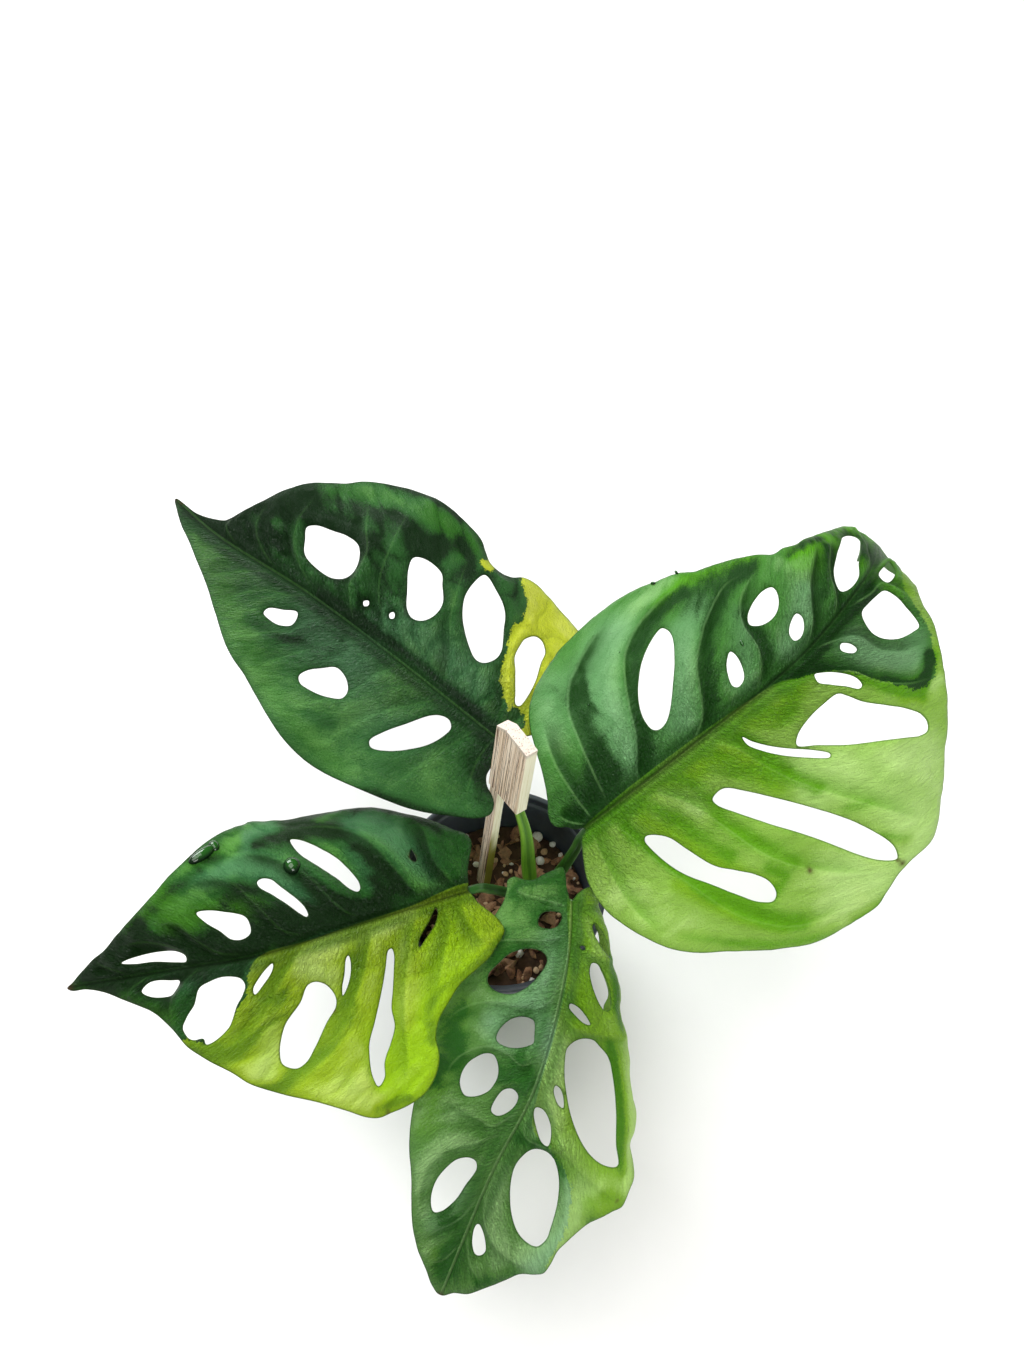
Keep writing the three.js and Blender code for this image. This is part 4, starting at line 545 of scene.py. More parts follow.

# Strokes of painted sheen (above zero, a cooler colour for light glancing off the blade) or of warmer colour
# on the blades, in the same way
SHEEN_AND_WARM_TINTS = {
    "leaf_upper_left": [
        (0.9, 7, [(-9, 44), (-8, 62)]), (0.8, 5, [(8, 14), (9, 32), (6, 46)]),
        (0.5, 6, [(-18, 30), (-14, 20)]), (-0.4, 4, [(34, 66), (30, 76), (22, 84), (14, 92)]),
        (-0.7, 4, [(38, 40), (38, 54)]), (-0.5, 3, [(-34, 30), (-31, 50), (-22, 72), (-12, 90)]),
    ],
    "leaf_right": [
        (0.9, 7, [(-8, 22), (-22, 24), (-36, 28), (-44, 40)]),
        (0.9, 5, [(-8, 40), (-18, 46), (-28, 55), (-33, 66)]), (0.7, 4, [(-6, 60), (-14, 68), (-20, 74)]),
        (0.9, 4, [(-4, 76), (-8, 86), (-12, 94)]), (0.6, 6, [(-30, 8), (-42, 14)]),
        (1, 5, [(8, 90), (17, 93), (24, 101), (21, 106)]), (1, 1.6, [(34, 98), (35.5, 103)]),
        (-0.9, 3.6, [(-40, 58), (-42, 68), (-38, 80), (-32, 92)]),
        (-1, 4, [(-17, 101), (-20, 107), (-15, 116)]), (-1, 8, [(-10, 116), (-9, 130), (-4, 136)]),
        (-1, 6, [(8, 118), (8, 130), (3, 136)]), (-1, 2.2, [(29, 90), (30.5, 100), (29, 110), (24, 116)]),
        (-1, 3.6, [(3, 18), (6, 30), (5, 40), (14, 47), (23, 50)]),
        (-0.9, 3, [(9, 15), (20, 20), (34, 25), (43, 30)]), (-0.9, 3.4, [(3, 54), (7, 62), (5, 70)]),
        (-1, 2.4, [(20, 88), (28, 93), (34, 95)]), (-0.9, 2.4, [(28, 11), (44, 18), (54, 26)]),
        (-0.8, 2, [(56, 58), (58, 68)]), (-0.7, 1.5, [(68, 42), (69, 50)]),
        (1, 7, [(28, 62), (42, 72), (56, 76)]), (1, 7, [(46, 84), (60, 70)]),
        (0.8, 5, [(60, 44), (54, 50), (64, 56)]), (0.6, 4, [(22, 56), (36, 52)]),
        (0.7, 3, [(7, 20), (9, 26), (14, 28)]),
    ],
    "leaf_lower_left": [
        (1, 4.6, [(3, 9), (14, 13), (25, 18), (31, 26)]),
        (1, 5, [(6, 44), (16, 48), (23, 54), (26, 64), (23, 74)]), (0.8, 3.4, [(37, 48), (36, 58)]),
        (0.6, 3, [(10, 26), (20, 28)]), (0.6, 3, [(-2, 60), (-4, 76), (-4, 84)]),
        (-0.9, 5, [(6, 56), (13, 62), (15, 74)]), (-0.8, 4, [(9, 82), (20, 86), (14, 93)]),
        (-0.7, 3, [(32, 36), (37, 28)]), (-0.8, 3, [(33, 66), (28, 78)]),
        (-0.8, 3, [(-12, 86), (-7, 98), (-2, 108)]),
        (-1, 8, [(-3, 9), (-12, 11), (-22, 15), (-34, 27), (-44, 33)]), (-0.5, 4, [(-30, 36), (-40, 42)]),
        (0.8, 2.2, [(-2, 16), (-3, 28), (-2, 44)]), (0.7, 2, [(-12, 22), (-22, 25), (-30, 28)]),
        (0.7, 3, [(-38, 47), (-44, 44)]), (0.6, 3, [(-6, 50), (-12, 46)]),
        (0.6, 2.4, [(-19, 60), (-30, 63)]),
    ],
    "leaf_front": [
        (0.8, 5, [(3, 10), (5, 22), (8, 34)]), (0.8, 5, [(3, 40), (10, 44), (16, 42)]),
        (0.6, 4, [(6, 88), (8, 100)]), (-0.7, 4, [(26, 40), (26, 60), (22, 76)]),
        (-0.9, 4, [(-4, 6), (-6, 20), (-5, 34)]), (0.7, 4, [(-14, 65), (-22, 72), (-25, 84), (-20, 98)]),
        (0.8, 3, [(-3, 44), (-4, 54), (-6, 62)]), (-0.6, 3, [(2, 106), (8, 104)]),
    ],
}

# Colours, among them painted sheen colours, and the strength of the mottling, painted shade past the veins,
# veins, painted shade in the midrib's groove, and the light line along it
LEAF_LOOKS = {
    "leaf_upper_left": {
        "deep": "#0a2a08", "green": "#2c6028", "pale": "#5c9246", "sheen_colour": "#52825c", "warm": "#2f6d12",
        "lime_deep": "#8c9c16", "lime": "#c0cc30", "lime_pale": "#dce070", "lime_sheen": "#d4d878",
        "lime_warm": "#a8b414", "edge": "#0d2a0a", "mottle": 0.6, "crease_shade": 0.55, "vein": 0.15,
        "rib_groove_shade": 0.5, "along": 0.35,
    },
    "leaf_right": {
        "deep": "#123f08", "green": "#43802f", "pale": "#7db066", "sheen_colour": "#74a576", "warm": "#57a402",
        "lime_deep": "#5a9a06", "lime": "#8cba48", "lime_pale": "#bfe284", "lime_sheen": "#bfe68a",
        "lime_warm": "#7ab00c", "edge": "#2a5a10", "mottle": 0.6, "crease_shade": 0.8, "vein": 0.35, "rib_groove_shade": 0.6,
        "along": 0.08,
    },
    "leaf_lower_left": {
        "deep": "#082802", "green": "#225a1a", "pale": "#55913a", "sheen_colour": "#447a56", "warm": "#3c7a10",
        "lime_deep": "#5c8204", "lime": "#8fae18", "lime_pale": "#b6d05c", "lime_sheen": "#a6c668",
        "lime_warm": "#8cb800", "edge": "#26460a", "mottle": 0.6, "crease_shade": 0.75, "vein": 0.12,
        "rib_groove_shade": 0.6, "along": 0.06,
    },
    "leaf_front": {
        "deep": "#2d671f", "green": "#629546", "pale": "#98c67c", "sheen_colour": "#7fb08a", "warm": "#6aa42e",
        "lime_deep": "#427a0c", "lime": "#7aa828", "lime_pale": "#aad26c", "lime_sheen": "#a2ce78",
        "lime_warm": "#74aa10", "edge": "#24501a", "mottle": 0.7, "crease_shade": 0.5, "vein": 0.22, "rib_groove_shade": 0.1,
        "along": 0.5,
    },
}

# Dry brown specks: place on the flat drawing, and radius
SPOTS = {
    "leaf_upper_left": [(0, 121, 1.2), (0.3, 118, 0.7)],
    "leaf_right": [(47, 41.5, 0.9), (61.8, 62.6, 0.8), (60.4, 62.2, 0.6), (-47, 70.5, 0.5),
        (-50, 60.5, 0.5)],
    "leaf_lower_left": [(-0.6, 113, 1.4), (-49, 40, 0.7), (14.2, 12.9, 1), (-20, 46, 0.5)],
    "leaf_front": [(0, 115, 1), (-33, 69.5, 0.4), (5, 9.5, 0.3)],
}

# Water drops: leaf, place on its flat drawing, half length, half width, and turn in degrees
DROPS = [
    ("leaf_lower_left", 21.6, 45, 2.7, 2.5, 0), ("leaf_lower_left", 31.2, 75, 4.6, 1.9, 125),
    ("leaf_lower_left", 33.6, 72, 2.2, 1.6, 40), ("leaf_right", -50.3, 60.4, 0.9, 0.6, 60),
    ("leaf_right", -47.2, 70.4, 0.8, 0.7, 0), ("leaf_right", -36.3, 38.4, 0.5, 0.5, 0),
    ("leaf_right", -14.4, 67.2, 1.3, 0.7, 160), ("leaf_right", -6, 98.7, 0.5, 0.4, 0),
    ("leaf_right", -29, 21.6, 0.4, 0.4, 0),
]
DROP_RINGS = 9
DROP_SIDES = 32
DROP_LIFT = 0.05

# Stem and soil, as in the solids
STEM_LINE = [(9, 1, 24), (9.4, 0.6, 38), (10.2, -0.6, 48), (11.2, -2.4, 56)]
STEM_R = [3.6, 3.6, 3.6, 2.6]
STEM_SIDES = 36
STEM_RINGS = 70
STEM_NODES = ((0.62, 0.10), (0.86, 0.08))
STEM_NODE_WIDTH = 0.03
STEM_COLOURS = ["#4c7326", "#6f9a3a", "#2c4d18", "#7fae58", "#5d8f3a"]
STEM_IN_SOIL = (9.6, 0.3)
STEM_CLEAR = 3.9
SOIL_LEVEL = 40.0
SOIL_R = 26.5
SOIL_SIDES = 160
SOIL_STEP = 0.85
SOIL_BOTTOM = 2.1
SOIL_BOTTOM_R = 21.4
BED_LIFT = 0.7

# Loose pieces: seeds of their places and shapes, count, sizes, range of tones, lift, and placed ones
LOOSE_PIECES = {
    "soil_bark": {
        "seeds": (5, 21), "count": 150, "sizes": (1.2, 2.9), "tones": (0, 0.8), "lift": 0.25,
        "placed": [
            (15.1, -5.1, 2.6), (21.5, 5.0, 2.4), (18.5, 9.5, 2.2), (-4.5, -1.5, 2.0), (8.5, -22, 2.6),
            (4, -19.5, 2.0),
        ],
    },
    "soil_pumice": {
        "seeds": (9, 33), "count": 14, "sizes": (0.4, 1.2), "tones": (0, 1), "lift": 0.45,
        "placed": [
            (11.7, 22.3, 1.9), (12.6, 14.6, 1.6), (16.8, 20.1, 1.1), (5.8, -15.8, 1.4), (9.7, -24.3, 1.2),
            (-7.9, 12.9, 1.2), (-11.6, 22.5, 1.5),
        ],
    },
    "soil_grit": {
        "seeds": (13, 44), "count": 46, "sizes": (0.4, 1.2), "tones": (0, 1), "lift": 0.4,
        "placed": [(10.1, 18.7, 1.3), (14.0, 17.6, 1.1), (-3.6, -1.2, 0.7)],
    },
}
CHIP_CORNERS = 15
LOOSE_SHARP = 38
FIBRE_SEED = 17
FIBRE_COUNT = 46
FIBRE_POINTS = 6
FIBRE_SIDES = 6
FIBRE_RINGS = 16
FIBRE_REACH = 24
FIBRE_LENGTHS = (4, 11)
FIBRE_HEIGHTS = (0.3, 1.7)
FIBRE_WIDTHS = (0.18, 0.4)

# Pick and pot, as in the solids
PICK_FOOT = (-7.8, 8.2, 41)
PICK_LEAN_RIGHT = 6.0
PICK_LEAN_BACK = 12.0
PICK_YAW = 54.5
PICK_SHAFT_WIDTH = 3.7
PICK_SHAFT_THICKNESS = 3.0
PICK_SHAFT_LENGTH = 52.2
PICK_HEAD_WIDTH = 13.2
PICK_HEAD_STEP = 0.8
PICK_HEAD_LEFT = 25.4
PICK_HEAD_RIDGE = 27.4
PICK_HEAD_RIDGE_AT = 3.7
PICK_HEAD_RIGHT = 26.4
PICK_BURIED = 28.0
PICK_POINT = 9.0
PICK_POINT_HALF = 0.5
PICK_POINT_RINGS = 6
PICK_SHAFT_RINGS = 46
PICK_HEAD_RINGS = 18
PICK_CORNER_R = 0.22
PICK_CORNER_POINTS = 4
PICK_WOBBLE = 0.05
# Painted shadow on the pick's skin side: none at the first height up the pick, full at the second
PICK_SHADOW_BAND = (33, 25)
PICK_SHARP = 40
PICK_IN_SOIL = (PICK_FOOT[0] + 2.4, PICK_FOOT[1] + 0.3)
PICK_CLEAR = 2.6
POT_SIDES = 144
POT_SHARP = 50
POT_FLOOR_STEP = 2.4
DRAIN_COUNT = 6
DRAIN_RING_R = 15.0
DRAIN_R = 3.0
DRAIN_SIDES = 30
POT_PROFILE = [
    (21.9, 1.8), (22.4, 3.0), (28.3, 49.2), (28.9, 50.4), (29.0, 54.4), (29.3, 54.75), (30.0, 54.95),
    (30.15, 55.3), (30.2, 57.4), (30.32, 57.75), (30.6, 57.98), (31.45, 58.0), (31.8, 57.85),
    (31.98, 57.5), (31.97, 56.9), (31.3, 50.4), (31.15, 50.1), (30.9, 50.0), (29.75, 49.7), (29.6, 49.3),
    (23.0, 0.75), (22.85, 0.3), (22.5, 0.05), (22.1, 0.0),
]


# Curves and outlines
def open_curve(points, count):
    """A smooth line through points, as count places spread evenly over its spans."""
    p = np.array(points, float)
    p = np.vstack([2 * p[0] - p[1], p, 2 * p[-1] - p[-2]])
    spans = len(points) - 1
    place = np.linspace(0, spans, count)
    i = np.minimum(place.astype(int), spans - 1)
    t = (place - i)[:, None]
    p0, p1, p2, p3 = p[i], p[i + 1], p[i + 2], p[i + 3]
    v0 = (p2 - p0) / 2
    v1 = (p3 - p1) / 2
    return (2 * p1 - 2 * p2 + v0 + v1) * t**3 + (3 * p2 - 3 * p1 - 2 * v0 - v1) * t**2 + v0 * t + p1


def closed_curve(points, step):
    """A smooth loop through points, with a point about every step."""
    p = np.array(points, float)
    p0, p1, p2, p3 = np.roll(p, 1, 0), p, np.roll(p, -1, 0), np.roll(p, -2, 0)
    d0, d1, d2 = (np.sqrt(np.linalg.norm(b - a, axis=1))[:, None] for a, b in ((p0, p1), (p1, p2), (p2, p3)))
    v1 = ((p1 - p0) / d0 - (p2 - p0) / (d0 + d1) + (p2 - p1) / d1) * d1
    v2 = ((p2 - p1) / d1 - (p3 - p1) / (d1 + d2) + (p3 - p2) / d2) * d1
    t = (np.arange(24) / 24)[None, :, None]
    a, b, c, d = (x[:, None, :] for x in (p1, p2, v1, v2))
    dense = ((2 * a - 2 * b + c + d) * t**3 + (3 * b - 3 * a - 2 * c - d) * t**2 + c * t + a).reshape(-1, 2)
    dense = np.vstack([dense, dense[:1]])
    lengths = lengths_along(dense)
    count = max(10, round(lengths[-1] / step))
    places = np.arange(count) * lengths[-1] / count
    return np.stack([np.interp(places, lengths, dense[:, k]) for k in (0, 1)], 1)


def lengths_along(line):
    return np.concatenate([[0], np.cumsum(np.linalg.norm(np.diff(line, axis=0), axis=1))])


def around(count):
    """Angles of points spaced evenly round a circle."""
    return 2 * np.pi * np.arange(count) / count


def circle(r, count, centre=(0.0, 0.0)):
    turn = around(count)
    return np.array(centre) + r * np.stack([np.cos(turn), np.sin(turn)], 1)


def smoothstep(low, high, x):
    t = np.clip((x - low) / (high - low), 0, 1)
    return t * t * (3 - 2 * t)


def bell(x, width):
    return np.exp(-((x / width) ** 2))


def bell_round(angle, centre, width):
    """A bell round one side of a rod, with the angle from its centre taken the short way."""
    return bell(np.angle(np.exp(1j * (angle - centre))), width)


def listed(values, share):
    """A value eased between the values of a list that are spaced evenly from 0 to 1."""
    place = np.clip(share, 0, 1) * (len(values) - 1)
    i = np.minimum(place.astype(int), len(values) - 2)
    t = place - i
    v = np.array(values, float)
    return v[i] + (v[i + 1] - v[i]) * t * t * (3 - 2 * t)


def unit(v):
    return v / np.linalg.norm(v, axis=-1, keepdims=True)


def dot(a, b):
    return (a * b).sum(-1, keepdims=True)


def is_inside(points, loops):
    x, y = points[:, 0], points[:, 1]
    inside = np.zeros(len(points), bool)
    for loop in loops:
        for (xi, yi), (xj, yj) in zip(loop, np.roll(loop, 1, 0)):
            if yi != yj:
                inside ^= ((yi > y) != (yj > y)) & (x < (xj - xi) * (y - yi) / (yj - yi) + xi)
    return inside


def line_distance(points, line):
    """For each point its distance to a line, the side of the line it is on, and its share along the line."""
    a, d = line[:-1], np.diff(line, axis=0)
    rel = points[:, None, :] - a[None]
    t = np.clip((rel * d).sum(-1) / (d * d).sum(-1), 0, 1)
    off = rel - t[..., None] * d
    distance = np.hypot(off[..., 0], off[..., 1])
    i = distance.argmin(1)
    row = np.arange(len(points))
    cross = d[i, 0] * rel[row, i, 1] - d[i, 1] * rel[row, i, 0]
    return distance[row, i], np.sign(cross), (i + t[row, i]) / len(d)


def nearest(points, targets):
    tree = kdtree.KDTree(len(targets))
    for i, (x, y) in enumerate(targets):
        tree.insert((x, y, 0), i)
    tree.balance()
    return np.array([tree.find((x, y, 0))[2] for x, y in points])


# Meshes
def fill_shape(loops, step, columns=()):
    """Points and triangles that fill an outline with holes, every step or so and in straight columns."""
    border = np.vstack(loops)
    low, high = border.min(0), border.max(0)
    rows = np.arange(low[1], high[1], step * 0.866)
    xs = np.arange(low[0], high[0], step)
    shifts = [step / 2 * (i % 2) for i in range(len(rows))]
    grid = np.vstack([np.stack([xs + shift, np.full(len(xs), y)], 1) for shift, y in zip(shifts, rows)])
    if columns:
        rows = np.arange(low[1], high[1], 0.9 * step)
        straight = np.vstack([np.stack([np.full(len(rows), x), rows], 1) for x in columns])
        grid = np.vstack([grid[np.abs(grid[:, 0]) > columns[-1] + 0.6 * step], straight])
    grid = grid[is_inside(grid, loops)]
    grid = grid[nearest(grid, border) > 0.6 * step]
    edges = []
    start = 0
    for loop in loops:
        count = len(loop)
        edges += [(start + i, start + (i + 1) % count) for i in range(count)]
        start += count
    points = [Vector(p) for p in np.vstack([border, grid])]
    made, _, faces, *_ = delaunay_2d_cdt(points, edges, [], 0, 1e-6)
    made = np.array([tuple(p) for p in made])
    faces = np.array(faces)
    return made, faces[is_inside(made[faces].mean(1), loops)]


def sheet_faces(faces, count):
    """The faces of a closed sheet: top points come first, and their partners below follow."""
    edges = dict.fromkeys((p, q) for a, b, c in faces.tolist() for p, q in ((a, b), (b, c), (c, a)))
    walls = []
    for p, q in edges:
        if (q, p) not in edges:
            walls += [(p, p + count, q), (q, p + count, q + count)]
    return np.vstack([faces, faces[:, ::-1] + count, np.array(walls)])


def ring_faces(rings, sides, lengthwise):
    """Quads between rings that follow each other. They run lengthwise or round first, which turns them."""
    faces = []
    for ring in range(rings - 1):
        for side in range(sides):
            a = ring * sides + side
            b = ring * sides + (side + 1) % sides
            faces.append((a, a + sides, b + sides, b) if lengthwise else (a, b, b + sides, a + sides))
    return faces


def add_piece(points, faces, more_points, more_faces):
    """Adds a piece to lists of points and faces that may hold others already."""
    start = len(points)
    faces += [tuple(i + start for i in face) for face in more_faces]
    points += [tuple(p) for p in more_points]


def make_object(name, points, faces, floats=None, vectors=None, uvs=None):
    """A smooth object from points in millimetres, with one value per point in each attribute and UV map."""
    mesh = bpy.data.meshes.new(name)
    if isinstance(faces, np.ndarray):
        faces = faces.tolist()
    mesh.from_pydata((np.asarray(points) * MM).tolist(), [], faces)
    for key, values in (floats or {}).items():
        data = mesh.attributes.new(key, "FLOAT", "POINT").data
        data.foreach_set("value", np.asarray(values, np.float32))
    for key, values in (vectors or {}).items():
        data = mesh.attributes.new(key, "FLOAT_VECTOR", "POINT").data
        data.foreach_set("vector", np.asarray(values, np.float32).ravel())
    corners = np.empty(len(mesh.loops), np.int32)
    mesh.loops.foreach_get("vertex_index", corners)
    for key, values in (uvs or {}).items():
        layer = mesh.uv_layers.new(name=key)
        layer.data.foreach_set("uv", np.asarray(values, np.float32)[corners].ravel())
    mesh.polygons.foreach_set("use_smooth", [True] * len(mesh.polygons))
    mesh.update()
    made = bpy.data.objects.new(name, mesh)
    bpy.context.scene.collection.objects.link(made)
    return made


def rod(line, widths, depths, face_up, sides, rings, shape=None):
    """A closed rod along a line: points, faces, and UVs that run round it and along its length."""
    centre = open_curve(line, rings)
    tangent = unit(np.gradient(centre, axis=0))
    across = unit(np.cross(tangent, np.array(face_up, float)[None]))
    outward = np.cross(across, tangent)
    share = np.linspace(0, 1, rings)
    w = np.interp(share, np.linspace(0, 1, len(widths)), widths) / 2
    d = np.interp(share, np.linspace(0, 1, len(depths)), depths) / 2
    angle = around(sides)
    grow = np.ones((rings, sides)) if shape is None else shape(share[:, None], angle[None, :])
    points = (
        centre[:, None, :]
        + across[:, None, :] * (np.cos(angle)[None, :] * w[:, None] * grow)[..., None]
        + outward[:, None, :] * (np.sin(angle)[None, :] * d[:, None] * grow)[..., None]
    ).reshape(-1, 3)
    faces = ring_faces(rings, sides, True)
    faces.append(tuple(range(sides)))
    faces.append(tuple(reversed(range((rings - 1) * sides, rings * sides))))
    uv = np.stack([
        np.tile(angle / (2 * np.pi), rings),
        np.repeat(lengths_along(centre), sides) * UV_SCALE,
    ], 1)
    return points, faces, uv


# Node trees
def linear(hex_colour):
    parts = [int(hex_colour[i:i + 2], 16) / 255 for i in (1, 3, 5)]
    return tuple(c / 12.92 if c <= 0.04045 else ((c + 0.055) / 1.055) ** 2.4 for c in parts) + (1.0,)


class Shader:
    """A node material with one Principled surface, and short ways to add nodes to it."""

    def __init__(self, name):
        self.material = bpy.data.materials.new(name)
        self.material.use_nodes = True
        self.tree = self.material.node_tree
        self.tree.nodes.clear()
        self.surface = self.tree.nodes.new("ShaderNodeBsdfPrincipled")
        out = self.tree.nodes.new("ShaderNodeOutputMaterial")
        self.tree.links.new(self.surface.outputs[0], out.inputs[0])

    def put(self, socket, value):
        if isinstance(value, bpy.types.NodeSocket):
            self.tree.links.new(value, socket)
        elif isinstance(value, str):
            socket.default_value = linear(value)
        else:
            socket.default_value = value

    def set(self, **values):
        for key, value in values.items():
            self.put(self.surface.inputs[key.replace("_", " ")], value)

    def node(self, kind, inputs=None, **settings):
        made = self.tree.nodes.new("ShaderNode" + kind)
        for key, value in settings.items():
            setattr(made, key, value)
        for key, value in (inputs or {}).items():
            self.put(made.inputs[key], value)
        return made

    def math(self, operation, *values):
        made = self.node("Math", operation=operation)
        for socket, value in zip(made.inputs, values):
            self.put(socket, value)
        return made.outputs[0]

    def plus(self, a, b):
        return self.math("ADD", a, b)

    def times(self, a, b):
        return self.math("MULTIPLY", a, b)

    def swing(self, field, amount):
        """A noise moved to swing around zero, and scaled."""
        return self.times(self.math("SUBTRACT", field, 0.5), amount)

    def mix(self, factor, a, b):
        return self.node("Mix", {0: factor, 6: a, 7: b}, data_type="RGBA").outputs[2]

    def span(self, value, low, high, to_low=0.0, to_high=1.0):
        inputs = {"Value": value, "From Min": low, "From Max": high, "To Min": to_low, "To Max": to_high}
        return self.node("MapRange", inputs, interpolation_type="SMOOTHSTEP").outputs[0]

    def attribute(self, name, output="Fac"):
        return self.node("Attribute", attribute_name=name).outputs[output]

    def place(self):
        return self.node("TexCoord").outputs["Object"]

    def stretched(self, vector, scale):
        return self.node("Mapping", {"Vector": vector, "Scale": scale}).outputs[0]

    def uv(self, name):
        return self.node("UVMap", uv_map=name).outputs[0]

    def noise(self, vector, scale, detail=4.0, roughness=0.55, distortion=0.0):
        inputs = {"Vector": vector, "Scale": scale, "Detail": detail, "Roughness": roughness}
        inputs["Distortion"] = distortion
        return self.node("TexNoise", inputs).outputs["Fac"]

    def cells(self, vector, scale, feature="DISTANCE_TO_EDGE"):
        made = self.node("TexVoronoi", {"Vector": vector, "Scale": scale}, feature=feature)
        return made.outputs["Distance"]

    def bump(self, height, distance_mm, strength=1.0):
        inputs = {"Height": height, "Distance": distance_mm * MM, "Strength": strength}
        return self.node("Bump", inputs).outputs[0]


def leaf_material(name):
    look = LEAF_LOOKS[name]
    m = Shader(name + "_skin")
    uv = m.uv("leaf")
    flow = m.uv("flow")
    big = m.noise(uv, 7.0, 3.0)
    blotch = m.noise(m.stretched(flow, (20.0, 13.0, 1.0)), 1.0, 4.0, 0.55, 0.4)
    streak = m.noise(m.stretched(flow, (75.0, 42.0, 1.0)), 1.0, 4.0, 0.6, 0.3)
    fine = m.noise(uv, 190.0, 3.0)
    network = m.cells(m.stretched(flow, (1.0, 0.62, 1.0)), 42.0)
    crease_shade = m.attribute("crease_shade")
    paint = m.attribute("paint")
    sheen_and_warm_tint = m.attribute("sheen_and_warm_tint")
    under = m.attribute("under")
    rib = m.math("ABSOLUTE", m.attribute("side"))
    vein = m.span(m.math("ABSOLUTE", m.attribute("vein")), 0.45, 0.1)
    vein = m.times(vein, m.attribute("vein_mask"))
    vein = m.times(vein, m.span(paint, -0.5, 0.5, 1.0, 0.3))

    # The painted part ends in a ragged line away from the midrib, and the tone varies with noise
    ragged = m.plus(m.swing(streak, 3.2), m.swing(fine, 2.2))
    ragged = m.times(ragged, m.span(rib, 1.0, 6.0))
    painted = m.span(m.plus(paint, ragged), -0.25, 0.25)
    texture = m.swing(blotch, 0.9)
    for field, amount in ((streak, 0.4), (fine, 1.5), (big, 0.9)):
        texture = m.plus(texture, m.swing(field, amount))
    texture = m.times(texture, m.span(painted, 0.0, 1.0, look["mottle"], 0.7 * look["mottle"]))
    # The strokes add painted shade and painted sheen to the mottling; the bulges add painted shade in their
    # creases and painted highlight on their tops
    tone = m.plus(texture, m.attribute("shade"))
    tone = m.plus(tone, m.times(m.attribute("puff"), 0.9))

    # Low, middle and high colours of the green and the painted part, turned towards a painted sheen colour or
    # a warmer one by the tint strokes
    sheen_colour = m.mix(painted, look["sheen_colour"], look["lime_sheen"])
    warm = m.mix(painted, look["warm"], look["lime_warm"])
    low = m.mix(painted, look["deep"], look["lime_deep"])
    middle = m.mix(m.span(sheen_and_warm_tint, 0.0, 1.0, 0.0, 0.45), m.mix(painted, look["green"], look["lime"]), sheen_colour)
    middle = m.mix(m.span(sheen_and_warm_tint, 0.0, -1.0, 0.0, 0.9), middle, warm)
    high = m.mix(m.span(sheen_and_warm_tint, 0.0, 1.0, 0.0, 0.7), m.mix(painted, look["pale"], look["lime_pale"]), sheen_colour)
    high = m.mix(m.span(sheen_and_warm_tint, 0.0, -1.0, 0.0, 0.4), high, warm)
    colour = m.mix(m.span(tone, 0.05, -0.75), middle, low)
    colour = m.mix(m.span(tone, 0.0, 0.85), colour, high)

    # Painted shade past the veins, then veins, painted shade in the midrib's groove and the light line along
    # it, fine network, margin, underside and specks
    crease_shade_near_rib = m.times(m.span(rib, 26.0, 2.0), crease_shade)
    colour = m.mix(m.times(crease_shade_near_rib, 0.7), colour, m.mix(painted, look["deep"], look["green"]))
    colour = m.mix(m.times(crease_shade, look["crease_shade"]), colour, low)
    colour = m.mix(m.times(vein, look["vein"]), colour, high)
    # Painted shade in the groove along the midrib
    colour = m.mix(m.span(rib, 1.9, 0.7, 0.0, look["rib_groove_shade"]), colour, look["deep"])
    colour = m.mix(m.span(rib, 0.45, 0.2, 0.0, look["along"]), colour, high)
    colour = m.mix(m.times(m.span(network, 0.05, 0.0), 0.07), colour, low)
    colour = m.mix(m.span(m.attribute("margin"), 0.45, 0.1, 0.0, 0.6), colour, look["edge"])
    colour = m.mix(m.times(under, 0.35), colour, high)
    colour = m.mix(m.attribute("spot"), colour, "#4a3416")

    pucker = m.noise(m.stretched(flow, (150.0, 85.0, 1.0)), 1.0, 3.0, 0.6, 0.8)
    pucker = m.times(pucker, m.span(rib, 30.0, 4.0, 0.6, 3.2))
    relief = m.plus(m.times(fine, 0.4), m.times(network, 0.6))
    relief = m.plus(relief, pucker)
    relief = m.plus(relief, m.times(m.noise(uv, 420.0, 2.0), 0.35))
    rough = m.plus(m.span(fine, 0.3, 0.7, 0.34, 0.48), m.times(under, 0.16))
    m.set(Base_Color=colour, Roughness=rough, Normal=m.bump(relief, 0.95))
    m.set(Specular_IOR_Level=0.2)
    return m.material


def stalk_material(name, low, high, groove, strip, rib):
    m = Shader(name + "_stalk_skin")
    uv = m.uv("rod")
    long = m.noise(m.stretched(uv, (26.0, 5.0, 1.0)), 1.0)
    spots = m.noise(m.stretched(uv, (14.0, 90.0, 1.0)), 1.0, 3.0)
    colour = m.mix(m.span(long, 0.35, 0.65), low, high)
    colour = m.mix(m.times(m.span(spots, 0.55, 0.75), 0.4), colour, groove)
    # Painted shade along the top groove of the stalk
    colour = m.mix(m.times(m.attribute("groove"), 0.75), colour, groove)
    colour = m.mix(m.times(m.attribute("strip"), 0.85), colour, strip)
    colour = m.mix(m.attribute("rib_part"), colour, rib)
    m.set(Base_Color=colour, Roughness=m.span(long, 0.3, 0.7, 0.32, 0.46), Normal=m.bump(long, 0.15, 0.5))
    m.set(Specular_IOR_Level=0.5, Subsurface_Weight=0.15, Subsurface_Scale=0.0015)
    m.surface.inputs["Subsurface Radius"].default_value = (0.6, 1.0, 0.2)
    return m.material


